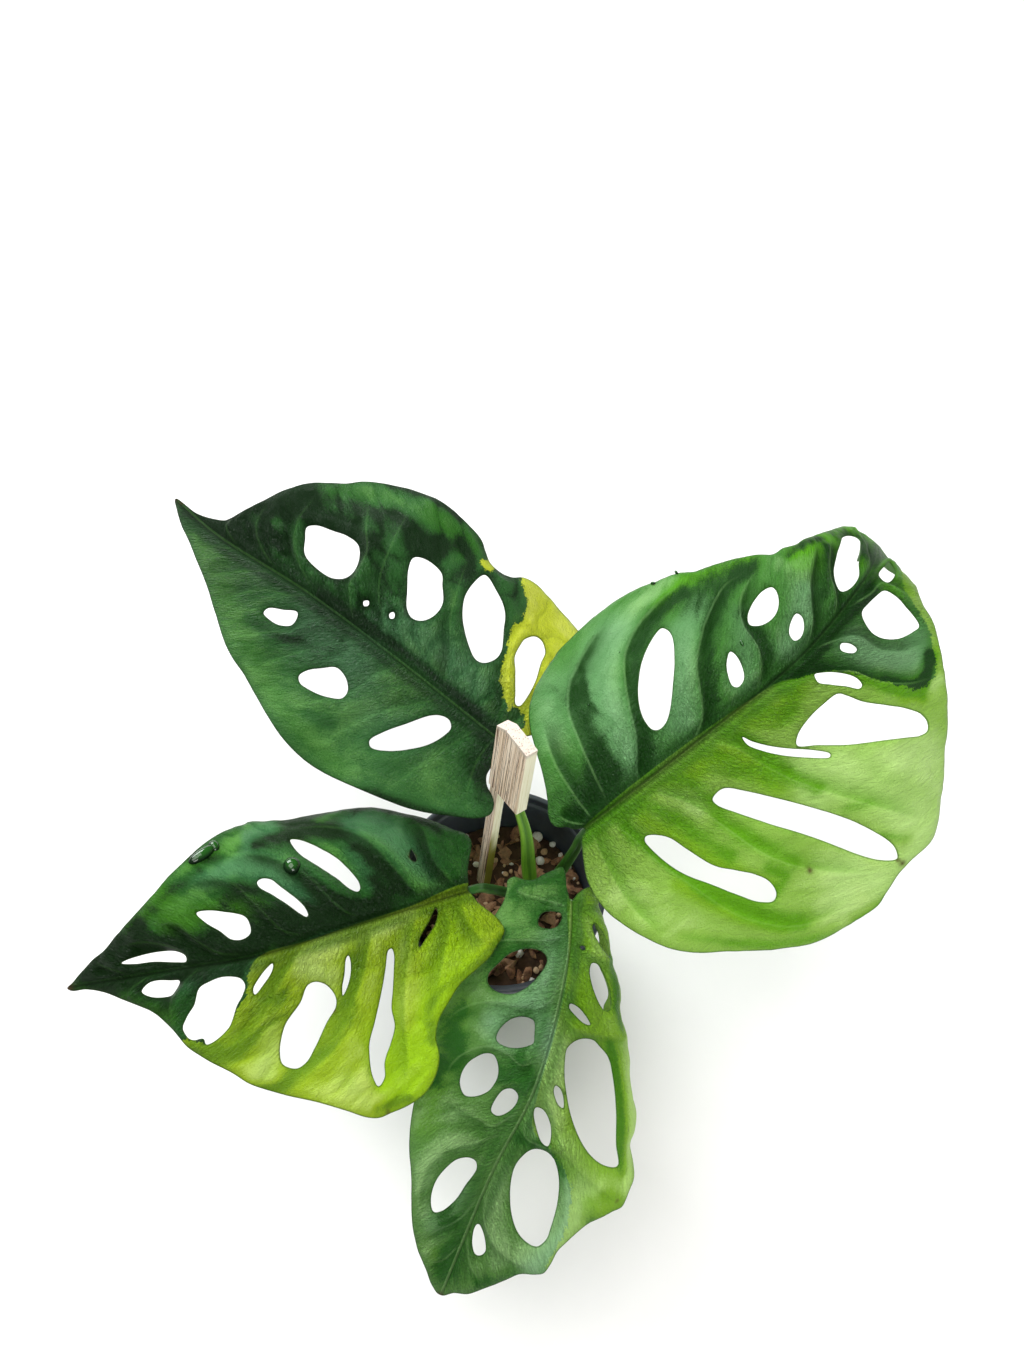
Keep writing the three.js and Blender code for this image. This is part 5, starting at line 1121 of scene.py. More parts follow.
def bamboo_material():
    m = Shader("split_bamboo")
    local = m.attribute("local", "Vector")
    ends = m.attribute("end_grain")
    fibre = m.noise(m.stretched(local, (2.2, 2.2, 0.035)), 1.0, 5.0, 0.7)
    lines = m.noise(m.stretched(local, (3.6, 3.6, 0.03)), 1.0, 1.0)
    dashes = m.noise(m.stretched(local, (5.5, 5.5, 0.22)), 1.0, 2.0)
    pores = m.cells(local, 1.7, "F1")
    front = m.mix(m.span(fibre, 0.38, 0.62), "#dcc0a2", "#fff0dc")
    front = m.mix(m.span(lines, 0.56, 0.6, 0.0, 0.95), front, "#6b4630")
    front = m.mix(m.span(dashes, 0.6, 0.7, 0.0, 0.8), front, "#4c2f1d")
    skin = m.mix(m.span(fibre, 0.36, 0.5), "#e4d8a4", "#fffadf")
    # A painted shadow darkens the lower part of the skin side
    skin = m.mix(m.attribute("cast_shadow"), skin, "#8a8430")
    end = m.mix(m.span(pores, 0.12, 0.3), "#7d5d4c", "#dccec0")
    colour = m.mix(m.attribute("skin_side"), front, skin)
    colour = m.mix(ends, colour, end)
    relief = m.plus(m.times(fibre, 0.8), m.times(m.times(pores, ends), 1.5))
    m.set(Base_Color=colour, Roughness=m.span(fibre, 0.3, 0.7, 0.6, 0.8), Normal=m.bump(relief, 0.22, 0.8))
    m.set(Specular_IOR_Level=0.35)
    return m.material


def pot_material():
    m = Shader("moulded_plastic")
    place = m.place()
    mottle = m.noise(place, 180.0, 5.0, 0.6)
    grain = m.noise(place, 2600.0, 2.0)
    scuff = m.noise(m.stretched(place, (30.0, 30.0, 420.0)), 1.0, 5.0, 0.7)
    dust = m.noise(place, 70.0, 6.0, 0.7)
    colour = m.mix(m.span(mottle, 0.3, 0.7), "#333942", "#3c444e")
    colour = m.mix(m.times(m.span(dust, 0.55, 0.8), 0.2), colour, "#69717c")
    colour = m.mix(m.times(m.span(scuff, 0.66, 0.76), 0.3), colour, "#69717c")
    relief = m.plus(m.times(grain, 0.3), m.times(scuff, 0.3))
    m.set(Base_Color=colour, Roughness=m.span(dust, 0.35, 0.7, 0.38, 0.62), Normal=m.bump(relief, 0.12, 0.6))
    m.set(Specular_IOR_Level=0.5)
    return m.material


def crumb_material(name, low, high, tip, scale, relief_mm, roughness):
    m = Shader(name)
    place = m.place()
    coarse = m.noise(place, scale, 5.0, 0.65)
    fine = m.noise(place, scale * 5, 4.0, 0.7)
    colour = m.mix(m.span(coarse, 0.35, 0.65), low, high)
    colour = m.mix(m.times(m.span(fine, 0.55, 0.75), 0.55), colour, tip)
    colour = m.mix(m.times(m.attribute("tone"), 0.55), colour, tip)
    relief = m.plus(m.times(coarse, 0.5), fine)
    m.set(Base_Color=colour, Roughness=roughness, Normal=m.bump(relief, relief_mm))
    m.set(Specular_IOR_Level=0.3)
    return m.material


def water_material():
    m = Shader("water")
    ripple = m.noise(m.place(), 900.0, 1.0)
    # Painted colour: dark green for the leaf seen through the water, darkening to a painted shade at the rim
    colour = m.mix(m.span(m.attribute("rim"), 0.4, 0.95), "#215e18", "#08200a")
    m.set(Base_Color=colour, Roughness=0.03, Normal=m.bump(ripple, 0.02, 0.2))
    m.set(Transmission_Weight=0.3, IOR=1.4, Specular_IOR_Level=0.8)
    return m.material


def floor_material():
    m = Shader("pale_floor")
    speckle = m.noise(m.place(), 40.0)
    m.set(Base_Color=m.mix(speckle, "#f1f1f0", "#f6f6f5"), Roughness=0.9)
    return m.material


# Leaves
class Blade:
    """The curved surface that a leaf's flat drawing is bent over, in millimetres."""

    def __init__(self, leaf):
        self.leaf = leaf
        self.spine = open_curve(leaf["spine"], 1600)
        self.places = lengths_along(self.spine)
        self.length = self.places[-1]
        self.tangents = unit(np.gradient(self.spine, axis=0))
        self.faces = unit(np.array(leaf["face"], float))

    def point(self, side, along):
        """side and along are already at the leaf's real size."""
        leaf = self.leaf
        place = np.clip(along, 0, self.length)
        share = place / self.length
        read = [np.interp(place, self.places, self.spine[:, k]) for k in range(3)]
        turn = [np.interp(place, self.places, self.tangents[:, k]) for k in range(3)]
        tangent = unit(np.stack(turn, 1))
        point = np.stack(read, 1) + tangent * (along - place)[:, None]
        face = self.faces[0] * (1 - share)[:, None] + self.faces[1] * share[:, None]
        up = unit(face - dot(face, tangent) * tangent)
        across = np.cross(tangent, up)
        out = np.zeros(len(side))
        rise = np.zeros(len(side))
        width = np.zeros(len(side))
        for half, chosen in ((leaf["left"], side < 0), (leaf["right"], side >= 0)):
            s = share[chosen]
            reach = np.abs(side[chosen]) * listed(half["spread"], s)
            start = listed(half["roll"]["start"], s)
            curl = np.radians(listed(half["curl"], s))
            angle = np.radians(listed(half["fold"], s))
            near = np.minimum(reach, start)
            far = np.maximum(reach - start, 0)
            curl2 = curl + np.radians(listed(half["roll"]["curl"], s))
            middle = angle - curl * near
            end = middle - curl2 * far
            out[chosen] = (np.sin(angle) - np.sin(middle)) / curl + (np.sin(middle) - np.sin(end)) / curl2
            rise[chosen] = (np.cos(middle) - np.cos(angle)) / curl + (np.cos(end) - np.cos(middle)) / curl2
            width[chosen] = reach
        wave = np.sin(2 * np.pi * (along + WAVE_SLANT * side) / leaf["wave"]["length"])
        rise += leaf["wave"]["height"] * wave * np.minimum(width / WAVE_FULL_AT, 1) ** 2
        return point + across * (np.sign(side) * out)[:, None] + up * rise[:, None]

    def normal(self, side, along):
        a = self.point(side + NORMAL_STEP, along) - self.point(side - NORMAL_STEP, along)
        b = self.point(side, along + NORMAL_STEP) - self.point(side, along - NORMAL_STEP)
        return unit(np.cross(a, b))


def pleat(s):
    """A crest on the base side of a vein, a steep drop to a groove on its tip side, and a slow rise."""
    drop = CREST_HEIGHT - (CREST_HEIGHT + GROOVE_DEPTH) * smoothstep(CREST_AT, GROOVE_AT, s)
    before = CREST_HEIGHT * bell(s - CREST_AT, CREST_WIDTH)
    after = -GROOVE_DEPTH * bell(s - GROOVE_AT, GROOVE_WIDTH)
    return np.where(s < CREST_AT, before, np.where(s > GROOVE_AT, after, drop))


def side_veins(name, points):
    """Height and painted shade of the pleats, and the signed distance to the nearest vein with its weight."""
    height = np.zeros(len(points))
    crease_shade = np.zeros(len(points))
    nearest_vein = np.full(len(points), FAR)
    signed = np.full(len(points), FAR)
    mask = np.zeros(len(points))
    side = np.abs(points[:, 0])
    for line in VEINS[name]:
        curve = open_curve(line, 26)
        hand = np.sign(curve[-1, 0])
        strength = PLEATS[name][0 if hand < 0 else 1]
        distance, turn, share = line_distance(points, curve)
        s = distance * turn * hand
        same_half = (np.sign(points[:, 0]) == hand) | (side < 0.8)
        weight = smoothstep(0.0, 0.16, share) * smoothstep(1.0, 0.75, share) * same_half
        height += strength * weight * pleat(s) * bell(distance, PLEAT_REACH) * smoothstep(0.6, 2.6, side)
        slope_shade = smoothstep(SLOPE_SHADE_FROM, SLOPE_SHADE_AT, s) * bell(s - SLOPE_SHADE_AT, SLOPE_SHADE_WIDTH)
        crease_shade = np.maximum(crease_shade, min(1.0, strength) * weight * slope_shade)
        closer = same_half & (distance < nearest_vein)
        nearest_vein = np.where(closer, distance, nearest_vein)
        signed = np.where(closer, s, signed)
        mask = np.where(closer, weight * bell(distance, VEIN_REACH), mask)
    return height, crease_shade, signed, mask


def strokes_at(strokes, points):
    """The sum of the strokes at each point. A stroke fades out like a bell on both sides of its line."""
    total = np.zeros(len(points))
    for amount, width, line in strokes:
        distance = line_distance(points, open_curve(line, 20))[0]
        total += amount * bell(distance, width * STROKE_SPREAD)
    return np.clip(total, -1, 1)


def painted_distance(name, points):
    """The distance to the edge of the lime or yellow parts, above zero inside them."""
    best = np.full(len(points), -FAR)
    for zone in PAINTED[name]:
        loop = closed_curve(zone, 1.5)
        distance = line_distance(points, np.vstack([loop, loop[:1]]))[0]
        best = np.maximum(best, np.where(is_inside(points, [loop]), distance, -distance))
    return best


def specks_at(name, points):
    spot = np.zeros(len(points))
    for x, y, r in SPOTS[name]:
        spot = np.maximum(spot, bell(np.hypot(points[:, 0] - x, points[:, 1] - y), r))
    return spot


def flow_of(points):
    """Coordinates across and along the side veins, which lean more towards the tip."""
    side, along = np.abs(points[:, 0]), points[:, 1]
    lean = np.interp(along, LEAN_PLACES, LEANS)
    across = (along - lean * side) * UV_SCALE + LEFT_HALF_SHIFT * (points[:, 0] < 0)
    return np.stack([across, side * UV_SCALE], 1)


def puffs(points):
    """Soft bulges between fine creases that run along and across the side veins."""
    values = []
    for a, b in flow_of(points) / UV_SCALE:
        low = noise.noise(Vector((a / 5.5, b / 8.0, 1.7)))
        high = noise.noise(Vector((a / 2.6, b / 3.6, 8.3)))
        values.append(min(1.0, 2.2 * abs(low + 0.35 * high)) ** 0.7)
    return np.array(values)


def wrinkles(points):
    return np.array([
        noise.noise(Vector((x * 0.16, y * 0.16, 3.1))) + 0.5 * noise.noise(Vector((x * 0.38, y * 0.38, 7.7)))
        for x, y in points
    ])


def relief_of(name, points, margin):
    """Height of the whole relief of a blade, and what the leaf's material reads of it: painted shade and
    highlight from the creases and bulges, and the veins.
    """
    height, crease_shade, signed, mask = side_veins(name, points)
    side = np.abs(points[:, 0])
    tip = 1 - smoothstep(95, 118, points[:, 1])
    height -= RIB_GROOVE * bell(points[:, 0], 0.8) * (0.35 + 0.65 * tip)
    height += RIB_BANK * bell(side - 2.0, 1.2) * tip
    # Painted shade on the banks beside the midrib's groove
    crease_shade = np.maximum(crease_shade, 0.7 * bell(side - 2.6, 1.6) * tip)
    height += WRINKLE_HEIGHT * wrinkles(points) * smoothstep(0.5, 5.0, side)
    puff = puffs(points) * smoothstep(0.8, 5.0, side) * smoothstep(0.0, 2.5, margin)
    amount = np.where(points[:, 0] < 0, PUFFS[name][0], PUFFS[name][1])
    height += amount * (puff - 0.45) * smoothstep(0.8, 5.0, side)
    height -= MARGIN_DROP * bell(margin, 0.9)
    return height, crease_shade, signed, mask, amount * (puff - 0.5)


def blade_piece(name, leaf, blade):
    outline, holes = OUTLINES[name], HOLES[name]
    loops = [closed_curve(outline, EDGE_STEP)] + [closed_curve(hole, HOLE_STEP) for hole in holes]
    flat, faces = fill_shape(loops, BLADE_STEP, RIB_COLUMNS)
    margin = nearest(flat, np.vstack([closed_curve(loop, MARGIN_STEP) for loop in [outline, *holes]]))
    height, crease_shade, signed, mask, puff = relief_of(name, flat, margin)
    side, along = flat[:, 0] * leaf["size"], flat[:, 1] * leaf["size"]
    middle = blade.point(side, along)
    normal = blade.normal(side, along)
    half = np.interp(margin, [0, EDGE_WIDTH], [BLADE_EDGE_THICK / 2, BLADE_THICK / 2])
    top = middle + normal * (height + half)[:, None]
    bottom = middle + normal * (height - half)[:, None]
    count = len(flat)
    both_sides = {
        "crease_shade": crease_shade, "vein": signed, "vein_mask": mask, "side": flat[:, 0], "margin": margin,
        "spot": specks_at(name, flat), "paint": painted_distance(name, flat),
        "shade": strokes_at(SHADE_SHEEN_AND_TONE_STROKES[name], flat), "sheen_and_warm_tint": strokes_at(SHEEN_AND_WARM_TINTS[name], flat), "puff": puff,
    }
    floats = {key: np.tile(values, 2) for key, values in both_sides.items()}
    floats["under"] = np.repeat([0.0, 1.0], count)
    uvs = {"leaf": np.tile(flat * UV_SCALE, (2, 1)), "flow": np.tile(flow_of(flat), (2, 1))}
    points = np.vstack([top, bottom])
    skin = make_object(name + "_blade", points, sheet_faces(faces, count), floats, None, uvs)
    skin.data.materials.append(leaf_material(name))
    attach(skin, "root")
    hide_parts(name)


def stalk_line(petiole, blade):
    """The line of a stalk that goes on under the blade as its midrib, with its widths and depths."""
    line = list(petiole["line"])
    widths = list(petiole["width"])
    depths = list(petiole["depth"])
    places = np.linspace(RIB_FROM, RIB_TO_SHARE * blade.length, RIB_STEPS)
    for along, r in zip(places, np.linspace(RIB_START_R, RIB_END_R, RIB_STEPS)):
        zero, place = np.zeros(1), np.array([along])
        line.append(tuple((blade.point(zero, place) - blade.normal(zero, place) * (r + RIB_BELOW))[0]))
        widths.append(2 * r)
        depths.append(2 * r)
    return line, widths, depths


def stalk_piece(name, leaf, blade):
    line, widths, depths = stalk_line(leaf["petiole"], blade)
    stalk_share = (len(leaf["petiole"]["line"]) - 1) / (len(line) - 1)

    def shape(share, angle):
        on_stalk = smoothstep(stalk_share * 1.02, stalk_share * 0.85, share)
        groove = bell_round(angle, UP_ANGLE, 0.45)
        flanks = bell_round(angle, UP_ANGLE + 0.85, 0.35) + bell_round(angle, UP_ANGLE - 0.85, 0.35)
        return 1 + on_stalk * (0.16 * flanks - 0.34 * groove)

    points, faces, uv = rod(line, widths, depths, leaf["face"][0], STALK_SIDES, STALK_RINGS, shape)
    share = np.repeat(np.linspace(0, 1, STALK_RINGS), STALK_SIDES)
    angle = np.tile(around(STALK_SIDES), STALK_RINGS)
    on_stalk = smoothstep(stalk_share, stalk_share * 0.8, share)
    floats = {
        "groove": bell_round(angle, UP_ANGLE, 0.55) * on_stalk,
        "strip": bell_round(angle, 2 * np.pi * STRIP_TURN[name], 0.55) * on_stalk,
        "rib_part": smoothstep(stalk_share * 0.98, stalk_share * 1.1, share),
    }
    stalk = make_object(name + "_stalk", points, faces, floats, None, {"rod": uv})
    stalk.data.materials.append(stalk_material(name, *STALK_COLOURS[name], LEAF_LOOKS[name]["green"]))
    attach(stalk, "root")
    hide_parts(name)


def leaf_pieces(name, leaf):
    blade = Blade(leaf)
    blade_piece(name, leaf, blade)
    stalk_piece(name, leaf, blade)
    return blade


def drop_on(blade, size, flat_x, flat_y, half_length, half_width, turn):
    """A dome of water on a blade: points, faces, and how near each point is to the rim."""
    tilt = np.repeat(np.linspace(0, np.pi / 2, DROP_RINGS), DROP_SIDES)
    angle = np.tile(around(DROP_SIDES), DROP_RINGS)
    long = half_length * np.cos(tilt) * np.cos(angle)
    wide = half_width * np.cos(tilt) * np.sin(angle)
    turn = math.radians(turn)
    side = flat_x * size + long * math.cos(turn) - wide * math.sin(turn)
    along = flat_y * size + long * math.sin(turn) + wide * math.cos(turn)
    lift = DROP_LIFT + (0.3 + 0.7 * half_width) * np.sin(tilt)
    points = blade.point(side, along) + blade.normal(side, along) * lift[:, None]
    top = (DROP_RINGS - 1) * DROP_SIDES
    last = top - DROP_SIDES
    faces = ring_faces(DROP_RINGS - 1, DROP_SIDES, False)
    faces += [(last + s, last + (s + 1) % DROP_SIDES, top) for s in range(DROP_SIDES)]
    faces.append(tuple(reversed(range(DROP_SIDES))))
    return points[:top + 1], faces, np.cos(tilt[:top + 1])


def water_drops(blades):
    points, faces, rim = [], [], []
    for name, *place in DROPS:
        more_points, more_faces, more_rim = drop_on(blades[name], LEAVES[name]["size"], *place)
        add_piece(points, faces, more_points, more_faces)
        rim += more_rim.tolist()
    drops = make_object("water_drops", points, faces, {"rim": rim})
    drops.data.materials.append(water_material())
    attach(drops, "root")


# Pick
def pick_matrix():
    right, back, yaw = (math.radians(a) for a in (PICK_LEAN_RIGHT, PICK_LEAN_BACK, PICK_YAW))
    axis = Vector((math.tan(right), math.tan(back), 1)).normalized()
    across = Vector((math.cos(yaw), -math.sin(yaw), 0))
    across = (across - axis * across.dot(axis)).normalized()
    behind = axis.cross(across)
    return Matrix.Translation(PICK_FOOT) @ Matrix((across, behind, axis)).transposed().to_4x4()


def pick_section(x0, x1, y0, y1, ridge):
    """A rectangle with rounded corners, and one point more on its front and on its back, at the ridge."""
    r = PICK_CORNER_R
    quarter = math.pi / 2
    turn = [quarter * k / (PICK_CORNER_POINTS - 1) for k in range(PICK_CORNER_POINTS)]
    points = []
    for cx, cy, first in ((x0, y0, 2 * quarter), (x1, y0, 3 * quarter), (x1, y1, 0), (x0, y1, quarter)):
        mx = cx + (r if cx == x0 else -r)
        my = cy + (r if cy == y0 else -r)
        points += [(mx + r * math.cos(first + t), my + r * math.sin(first + t)) for t in turn]
        if (cx == x0) == (cy == y0):
            points.append((ridge, cy))
    return points


def head_top(x):
    """Height of the pick's gabled top above its shaft."""
    if x < PICK_HEAD_RIDGE_AT:
        k = x / PICK_HEAD_RIDGE_AT
        return PICK_HEAD_LEFT + (PICK_HEAD_RIDGE - PICK_HEAD_LEFT) * k
    k = (x - PICK_HEAD_RIDGE_AT) / (PICK_HEAD_WIDTH - PICK_HEAD_RIDGE_AT)
    return PICK_HEAD_RIDGE + (PICK_HEAD_RIGHT - PICK_HEAD_RIDGE) * k


def pick_rings():
    rings = []
    width, deep = PICK_SHAFT_WIDTH, PICK_SHAFT_THICKNESS
    middle = width / 2
    shaft_from = PICK_POINT - PICK_BURIED
    for z in np.linspace(-PICK_BURIED, shaft_from, PICK_POINT_RINGS):
        k = (z + PICK_BURIED) / PICK_POINT
        half = PICK_POINT_HALF + (middle - PICK_POINT_HALF) * k
        rings.append([(x, y, z) for x, y in pick_section(middle - half, middle + half, 0, deep, middle)])
    for z in np.linspace(shaft_from, PICK_SHAFT_LENGTH, PICK_SHAFT_RINGS)[1:]:
        rings.append([(x, y, z) for x, y in pick_section(0, width, 0, deep, middle)])
    head = pick_section(0, PICK_HEAD_WIDTH, -PICK_HEAD_STEP, deep, PICK_HEAD_RIDGE_AT)
    for share in np.linspace(0, 1, PICK_HEAD_RINGS):
        rings.append([(x, y, PICK_SHAFT_LENGTH + head_top(x) * share) for x, y in head])
    return rings


def pick_piece():
    rings = pick_rings()
    count = len(rings[0])
    points = np.array(rings).reshape(-1, 3)
    last = (len(rings) - 1) * count
    top = list(range(last, last + count))
    front = PICK_CORNER_POINTS
    back = 3 * PICK_CORNER_POINTS + 1
    faces = ring_faces(len(rings), count, False)
    faces.append(tuple(reversed(range(count))))
    faces.append(tuple(top[front:back + 1]))
    faces.append(tuple(top[back:] + top[:front + 1]))

    wobble = np.array([noise.noise(Vector((x * 0.5, y * 0.5, z * 0.12))) for x, y, z in points])
    edge = np.where(points[:, 2] > PICK_SHAFT_LENGTH - 0.01, PICK_HEAD_WIDTH, PICK_SHAFT_WIDTH)
    world = np.array([tuple(pick_matrix() @ Vector(p)) for p in points + PICK_WOBBLE * wobble[:, None]])
    floats = {
        "end_grain": np.arange(len(points)) >= last,
        "skin_side": smoothstep(0.12, 0.02, edge - points[:, 0]),
        # painted shadow low on the pick's skin side
        "cast_shadow": smoothstep(*PICK_SHADOW_BAND, points[:, 2] + 2.5 * points[:, 1]),
    }
    pick = make_object("pick", world, faces, floats, {"local": points})
    pick.data.materials.append(bamboo_material())
    pick.data.set_sharp_from_angle(angle=math.radians(PICK_SHARP))
    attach(pick, "root")
    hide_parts("bamboo_pick")


# Pot
def pot_piece():
    points, faces = [], []
    wall = [(x, y, z) for r, z in POT_PROFILE for x, y in circle(r, POT_SIDES)]
    add_piece(points, faces, wall, ring_faces(len(POT_PROFILE), POT_SIDES, True))
    turns = around(DRAIN_COUNT) + math.pi / DRAIN_COUNT
    middles = [(DRAIN_RING_R * math.cos(a), DRAIN_RING_R * math.sin(a)) for a in turns]
    holes = [circle(DRAIN_R, DRAIN_SIDES, middle) for middle in middles]
    (floor_r, floor_z), (base_r, base_z) = POT_PROFILE[0], POT_PROFILE[-1]
    for r, z, order in ((floor_r, floor_z, 1), (base_r, base_z, -1)):
        flat, triangles = fill_shape([circle(r, POT_SIDES), *holes], POT_FLOOR_STEP)
        add_piece(points, faces, [(x, y, z) for x, y in flat], triangles[:, ::order].tolist())
    for hole in holes:
        rings = [(x, y, z) for z in (base_z, floor_z) for x, y in hole]
        add_piece(points, faces, rings, ring_faces(2, DRAIN_SIDES, True))
    pot = make_object("pot_shell", points, faces)
    work = bmesh.new()
    work.from_mesh(pot.data)
    bmesh.ops.remove_doubles(work, verts=work.verts, dist=1e-6)
    bmesh.ops.recalc_face_normals(work, faces=work.faces)
    work.to_mesh(pot.data)
    work.free()
    pot.data.set_sharp_from_angle(angle=math.radians(POT_SHARP))
    pot.data.materials.append(pot_material())
    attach(pot, "root")
    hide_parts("pot")


# Soil
def clear_of_stalks(x, y, margin):
    """Whether a place keeps clear of the stem and the pick."""
    from_stem = math.hypot(x - STEM_IN_SOIL[0], y - STEM_IN_SOIL[1])
    from_pick = math.hypot(x - PICK_IN_SOIL[0], y - PICK_IN_SOIL[1])
    return from_stem > STEM_CLEAR + margin and from_pick > PICK_CLEAR + margin


def bed_height(x, y):
    h = 1.2 * noise.noise(Vector((x * 0.17, y * 0.17, 1.3)))
    h += 0.9 * abs(noise.noise(Vector((x * 0.45, y * 0.45, 5.1))))
    h += 0.35 * noise.noise(Vector((x * 1.3, y * 1.3, 9.4)))
    return SOIL_LEVEL + BED_LIFT + h


def soil_bed():
    flat, faces = fill_shape([circle(SOIL_R, SOIL_SIDES)], SOIL_STEP)
    top = np.array([(x, y, bed_height(x, y)) for x, y in flat])
    bottom = np.column_stack([flat * (SOIL_BOTTOM_R / SOIL_R), np.full(len(flat), SOIL_BOTTOM)])
    tone = np.tile([0.5 + 0.5 * noise.noise(Vector((x * 0.3, y * 0.3, 2.0))) for x, y in flat], 2)
    bed = make_object("soil_bed", np.vstack([top, bottom]), sheet_faces(faces, len(flat)), {"tone": tone})
    bed.data.materials.append(crumb_material("soil_fines", "#1c120c", "#3d2a1c", "#6b5038", 900.0, 0.5, 0.95))
    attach(bed, "root")
    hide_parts("soil")


def taken_from(work):
    """The points and faces of a finished bmesh, which is freed."""
    work.verts.index_update()
    points = [tuple(v.co) for v in work.verts]
    faces = [tuple(v.index for v in f.verts) for f in work.faces]
    work.free()
    return points, faces


def bark_chip(draw, size):
    """A flat, angular lump: the hull of random corners, divided once and roughened."""
    work = bmesh.new()
    long = size * draw.uniform(0.9, 1.5)
    wide = size * draw.uniform(0.5, 0.9)
    thin = size * draw.uniform(0.25, 0.5)
    for _ in range(CHIP_CORNERS):
        v = Vector((draw.uniform(-1, 1), draw.uniform(-1, 1), draw.uniform(-1, 1)))
        work.verts.new((v.x * long, v.y * wide, v.z * thin))
    hull = bmesh.ops.convex_hull(work, input=work.verts)
    loose = [g for g in hull["geom_interior"] if isinstance(g, bmesh.types.BMVert)]
    bmesh.ops.delete(work, geom=loose, context="VERTS")
    bmesh.ops.subdivide_edges(work, edges=work.edges, cuts=1, smooth=0.25, use_grid_fill=True)
    bmesh.ops.triangulate(work, faces=work.faces)
    seed = draw.uniform(0, 99)
    for v in work.verts:
        v.co += v.co.normalized() * 0.22 * size * noise.noise(v.co * (1.3 / size) + Vector((seed, 0, 0)))
    return taken_from(work)


def pumice_lump(draw, size):
    """A rough, slightly squeezed ball."""
    work = bmesh.new()
    bmesh.ops.create_icosphere(work, subdivisions=2, radius=size)
    seed = draw.uniform(0, 99)
    stretch = Vector((draw.uniform(0.8, 1.2), draw.uniform(0.75, 1.1), draw.uniform(0.65, 1.0)))
    for v in work.verts:
        rough = noise.noise(v.co * (1.1 / size) + Vector((seed, 3, 0)))
        rough += 0.4 * noise.noise(v.co * (3.2 / size) + Vector((seed, 9, 0)))
        v.co = Vector(a * b for a, b in zip(v.co * (1 + 0.3 * rough), stretch))
    return taken_from(work)


def random_places(seed, count, sizes, placed):
    """Places and sizes on the soil: the placed ones, and count more by the seeded rule."""
    draw = random.Random(seed)
    places = list(placed)
    while len(places) < count + len(placed):
        r, a = SOIL_R * math.sqrt(draw.random()), draw.uniform(0, 2 * math.pi)
        size = draw.uniform(*sizes)
        x, y = r * math.cos(a), r * math.sin(a)
        if r + size * 1.1 < SOIL_R + 0.8 and clear_of_stalks(x, y, size * 0.9):
            places.append((x, y, size))
    return places


def scatter(name, maker, material):
    kind = LOOSE_PIECES[name]
    place_seed, shape_seed = kind["seeds"]
    draw = random.Random(shape_seed)
    points, faces, tones = [], [], []
    for x, y, size in random_places(place_seed, kind["count"], kind["sizes"], kind["placed"]):
        made, made_faces = maker(draw, size)
        turn = Matrix.Rotation(draw.uniform(0, FULL_TURN), 3, "Z")
        turn = turn @ Matrix.Rotation(draw.uniform(-0.6, 0.6), 3, "X")
        turn = turn @ Matrix.Rotation(draw.uniform(-0.5, 0.5), 3, "Y")
        spot = Vector((x, y, bed_height(x, y) + kind["lift"] * size))
        add_piece(points, faces, [turn @ Vector(p) + spot for p in made], made_faces)
        tones += [draw.uniform(*kind["tones"])] * len(made)
    piece = make_object(name, points, faces, {"tone": tones})
    piece.data.set_sharp_from_angle(angle=math.radians(LOOSE_SHARP))
    piece.data.materials.append(material)
    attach(piece, "root")
    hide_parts("soil")


def fibre_line(draw):
    """A gently bent line of points just over the soil."""
    x, y = draw.uniform(-FIBRE_REACH, FIBRE_REACH), draw.uniform(-FIBRE_REACH, FIBRE_REACH)
    heading, length = draw.uniform(0, FULL_TURN), draw.uniform(*FIBRE_LENGTHS)
    bend = draw.uniform(-0.25, 0.25)
    line = []
    for _ in range(FIBRE_POINTS):
        line.append((x, y, bed_height(x, y) + draw.uniform(*FIBRE_HEIGHTS)))
        x += length / (FIBRE_POINTS - 1) * math.cos(heading)
        y += length / (FIBRE_POINTS - 1) * math.sin(heading)
        heading += bend
    return line


def soil_fibres():
    draw = random.Random(FIBRE_SEED)
    points, faces = [], []
    count = 0
    while count < FIBRE_COUNT:
        line = fibre_line(draw)
        if any(math.hypot(x, y) > SOIL_R - 0.6 or not clear_of_stalks(x, y, 0.5) for x, y, _ in line):
            continue
        count += 1
        thick = draw.uniform(*FIBRE_WIDTHS)
        widths = [thick, thick, thick * 0.5]
        made, made_faces, _ = rod(line, widths, [thick] * 2, (0, 0.1, 1), FIBRE_SIDES, FIBRE_RINGS)
        add_piece(points, faces, made, made_faces)
    strands = make_object("soil_fibres", points, faces, {"tone": [0.5] * len(points)})
    strands.data.materials.append(crumb_material("coir", "#4d2f1a", "#7c5432", "#a8815a", 600.0, 0.1, 0.85))
    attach(strands, "root")
    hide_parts("soil")


def soil_pieces():
    soil_bed()
    bark = crumb_material("bark", "#52321f", "#a87858", "#d2ab88", 420.0, 0.5, 0.88)
    pumice = crumb_material("pumice", "#d8cfc2", "#f2ece2", "#ffffff", 800.0, 0.35, 0.85)
    tan = crumb_material("tan_grit", "#a37a58", "#cfa880", "#ecd0aa", 700.0, 0.35, 0.9)
    scatter("soil_bark", bark_chip, bark)
    scatter("soil_pumice", pumice_lump, pumice)
    scatter("soil_grit", pumice_lump, tan)
    soil_fibres()


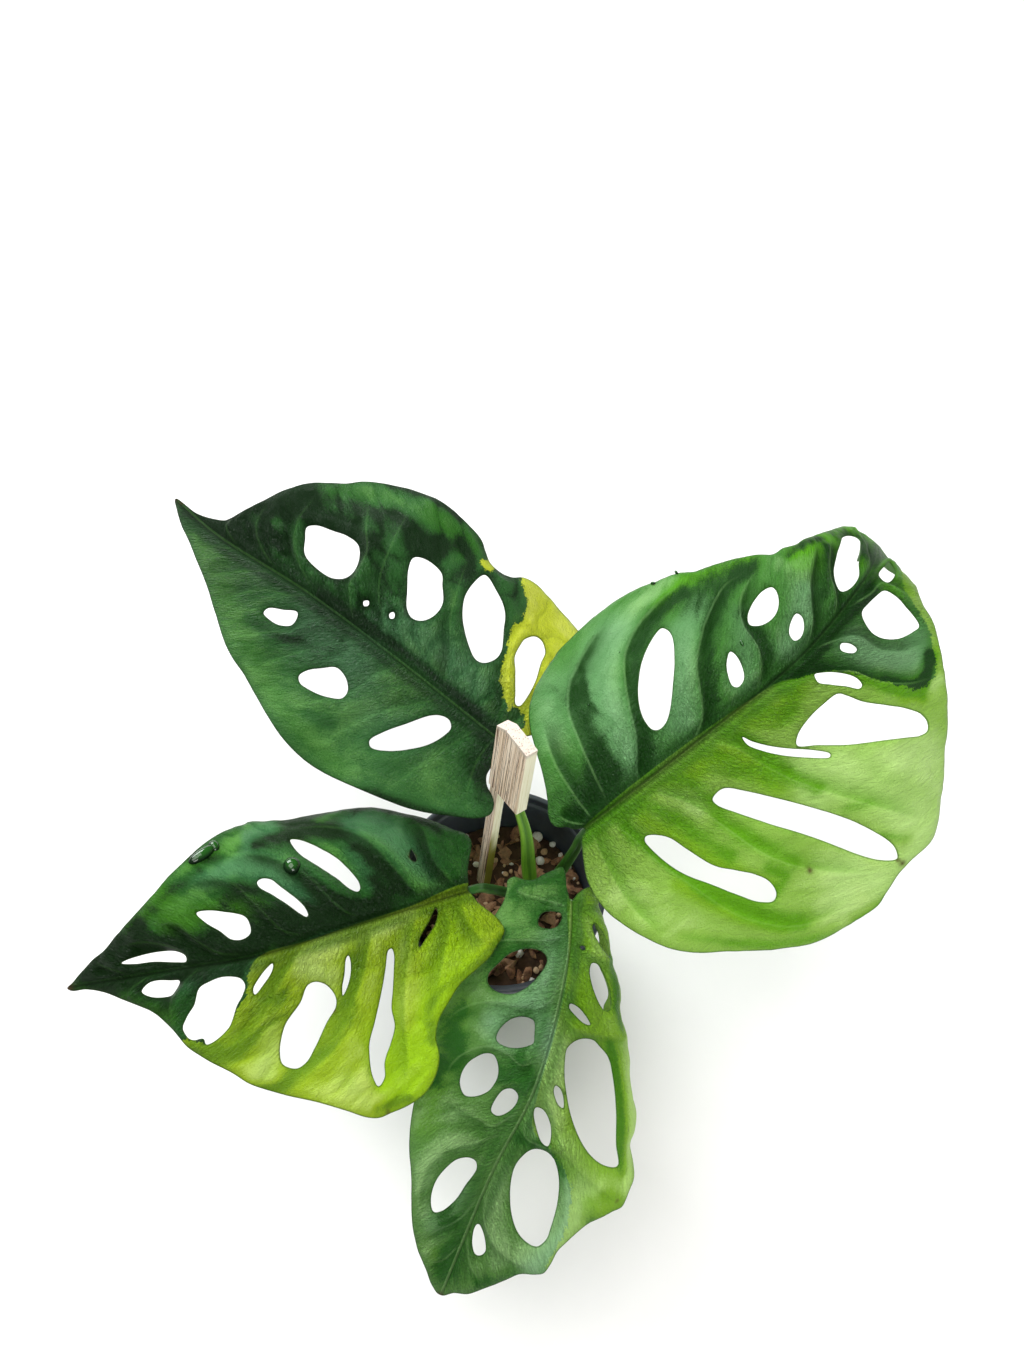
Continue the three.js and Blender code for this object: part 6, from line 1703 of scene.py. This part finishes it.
# Stem
def stem_piece():
    def shape(share, angle):
        nodes = sum(height * bell(share - place, STEM_NODE_WIDTH) for place, height in STEM_NODES)
        return 1 + nodes + 0.02 * np.sin(3 * angle + 9 * share)

    sizes = [2 * r for r in STEM_R]
    points, faces, uv = rod(STEM_LINE, sizes, sizes, (0, -1, 0), STEM_SIDES, STEM_RINGS, shape)
    floats = dict.fromkeys(("groove", "strip", "rib_part"), np.zeros(len(points)))
    stem = make_object("stem_skin", points, faces, floats, None, {"rod": uv})
    stem.data.materials.append(stalk_material("stem", *STEM_COLOURS))
    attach(stem, "root")
    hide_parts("stem")


# Stage
def area_light(name, place, size, power, colour):
    data = bpy.data.lights.new(name, "AREA")
    data.shape = "RECTANGLE"
    data.size, data.size_y = size
    data.energy = power
    data.color = colour
    light = bpy.data.objects.new(name, data)
    light.location = place
    light.rotation_euler = (Vector(LIGHT_TARGET) - Vector(place)).to_track_quat("-Z", "Y").to_euler()
    bpy.context.scene.collection.objects.link(light)


def stage():
    corners = [(x * FLOOR_REACH, y * FLOOR_REACH, 0) for x, y in ((-1, -1), (1, -1), (1, 1), (-1, 1))]
    floor = make_object("floor", corners, [(0, 1, 2, 3)])
    floor.data.materials.append(floor_material())
    for light in LIGHTS:
        area_light(*light)
    world = bpy.data.worlds.new("soft_white")
    world.use_nodes = True
    background = world.node_tree.nodes["Background"]
    background.inputs["Color"].default_value = (1.0, 1.0, 1.0, 1.0)
    background.inputs["Strength"].default_value = WORLD_STRENGTH
    bpy.context.scene.world = world
    bpy.context.scene.view_settings.view_transform = "Standard"

    data = bpy.data.cameras.new("camera")
    data.sensor_width = SENSOR
    data.lens = SENSOR * FOCAL_PIXELS / IMAGE_HEIGHT
    data.clip_start = CAMERA_NEAR_M
    camera = bpy.data.objects.new("camera", data)
    camera.location = [c * MM for c in CAMERA_PLACE]
    camera.rotation_euler = (math.radians(90 - CAMERA_DOWN), 0, 0)
    bpy.context.scene.collection.objects.link(camera)
    bpy.context.scene.camera = camera


stage()
pot_piece()
soil_pieces()
stem_piece()
pick_piece()
blades = {name: leaf_pieces(name, leaf) for name, leaf in LEAVES.items()}
water_drops(blades)
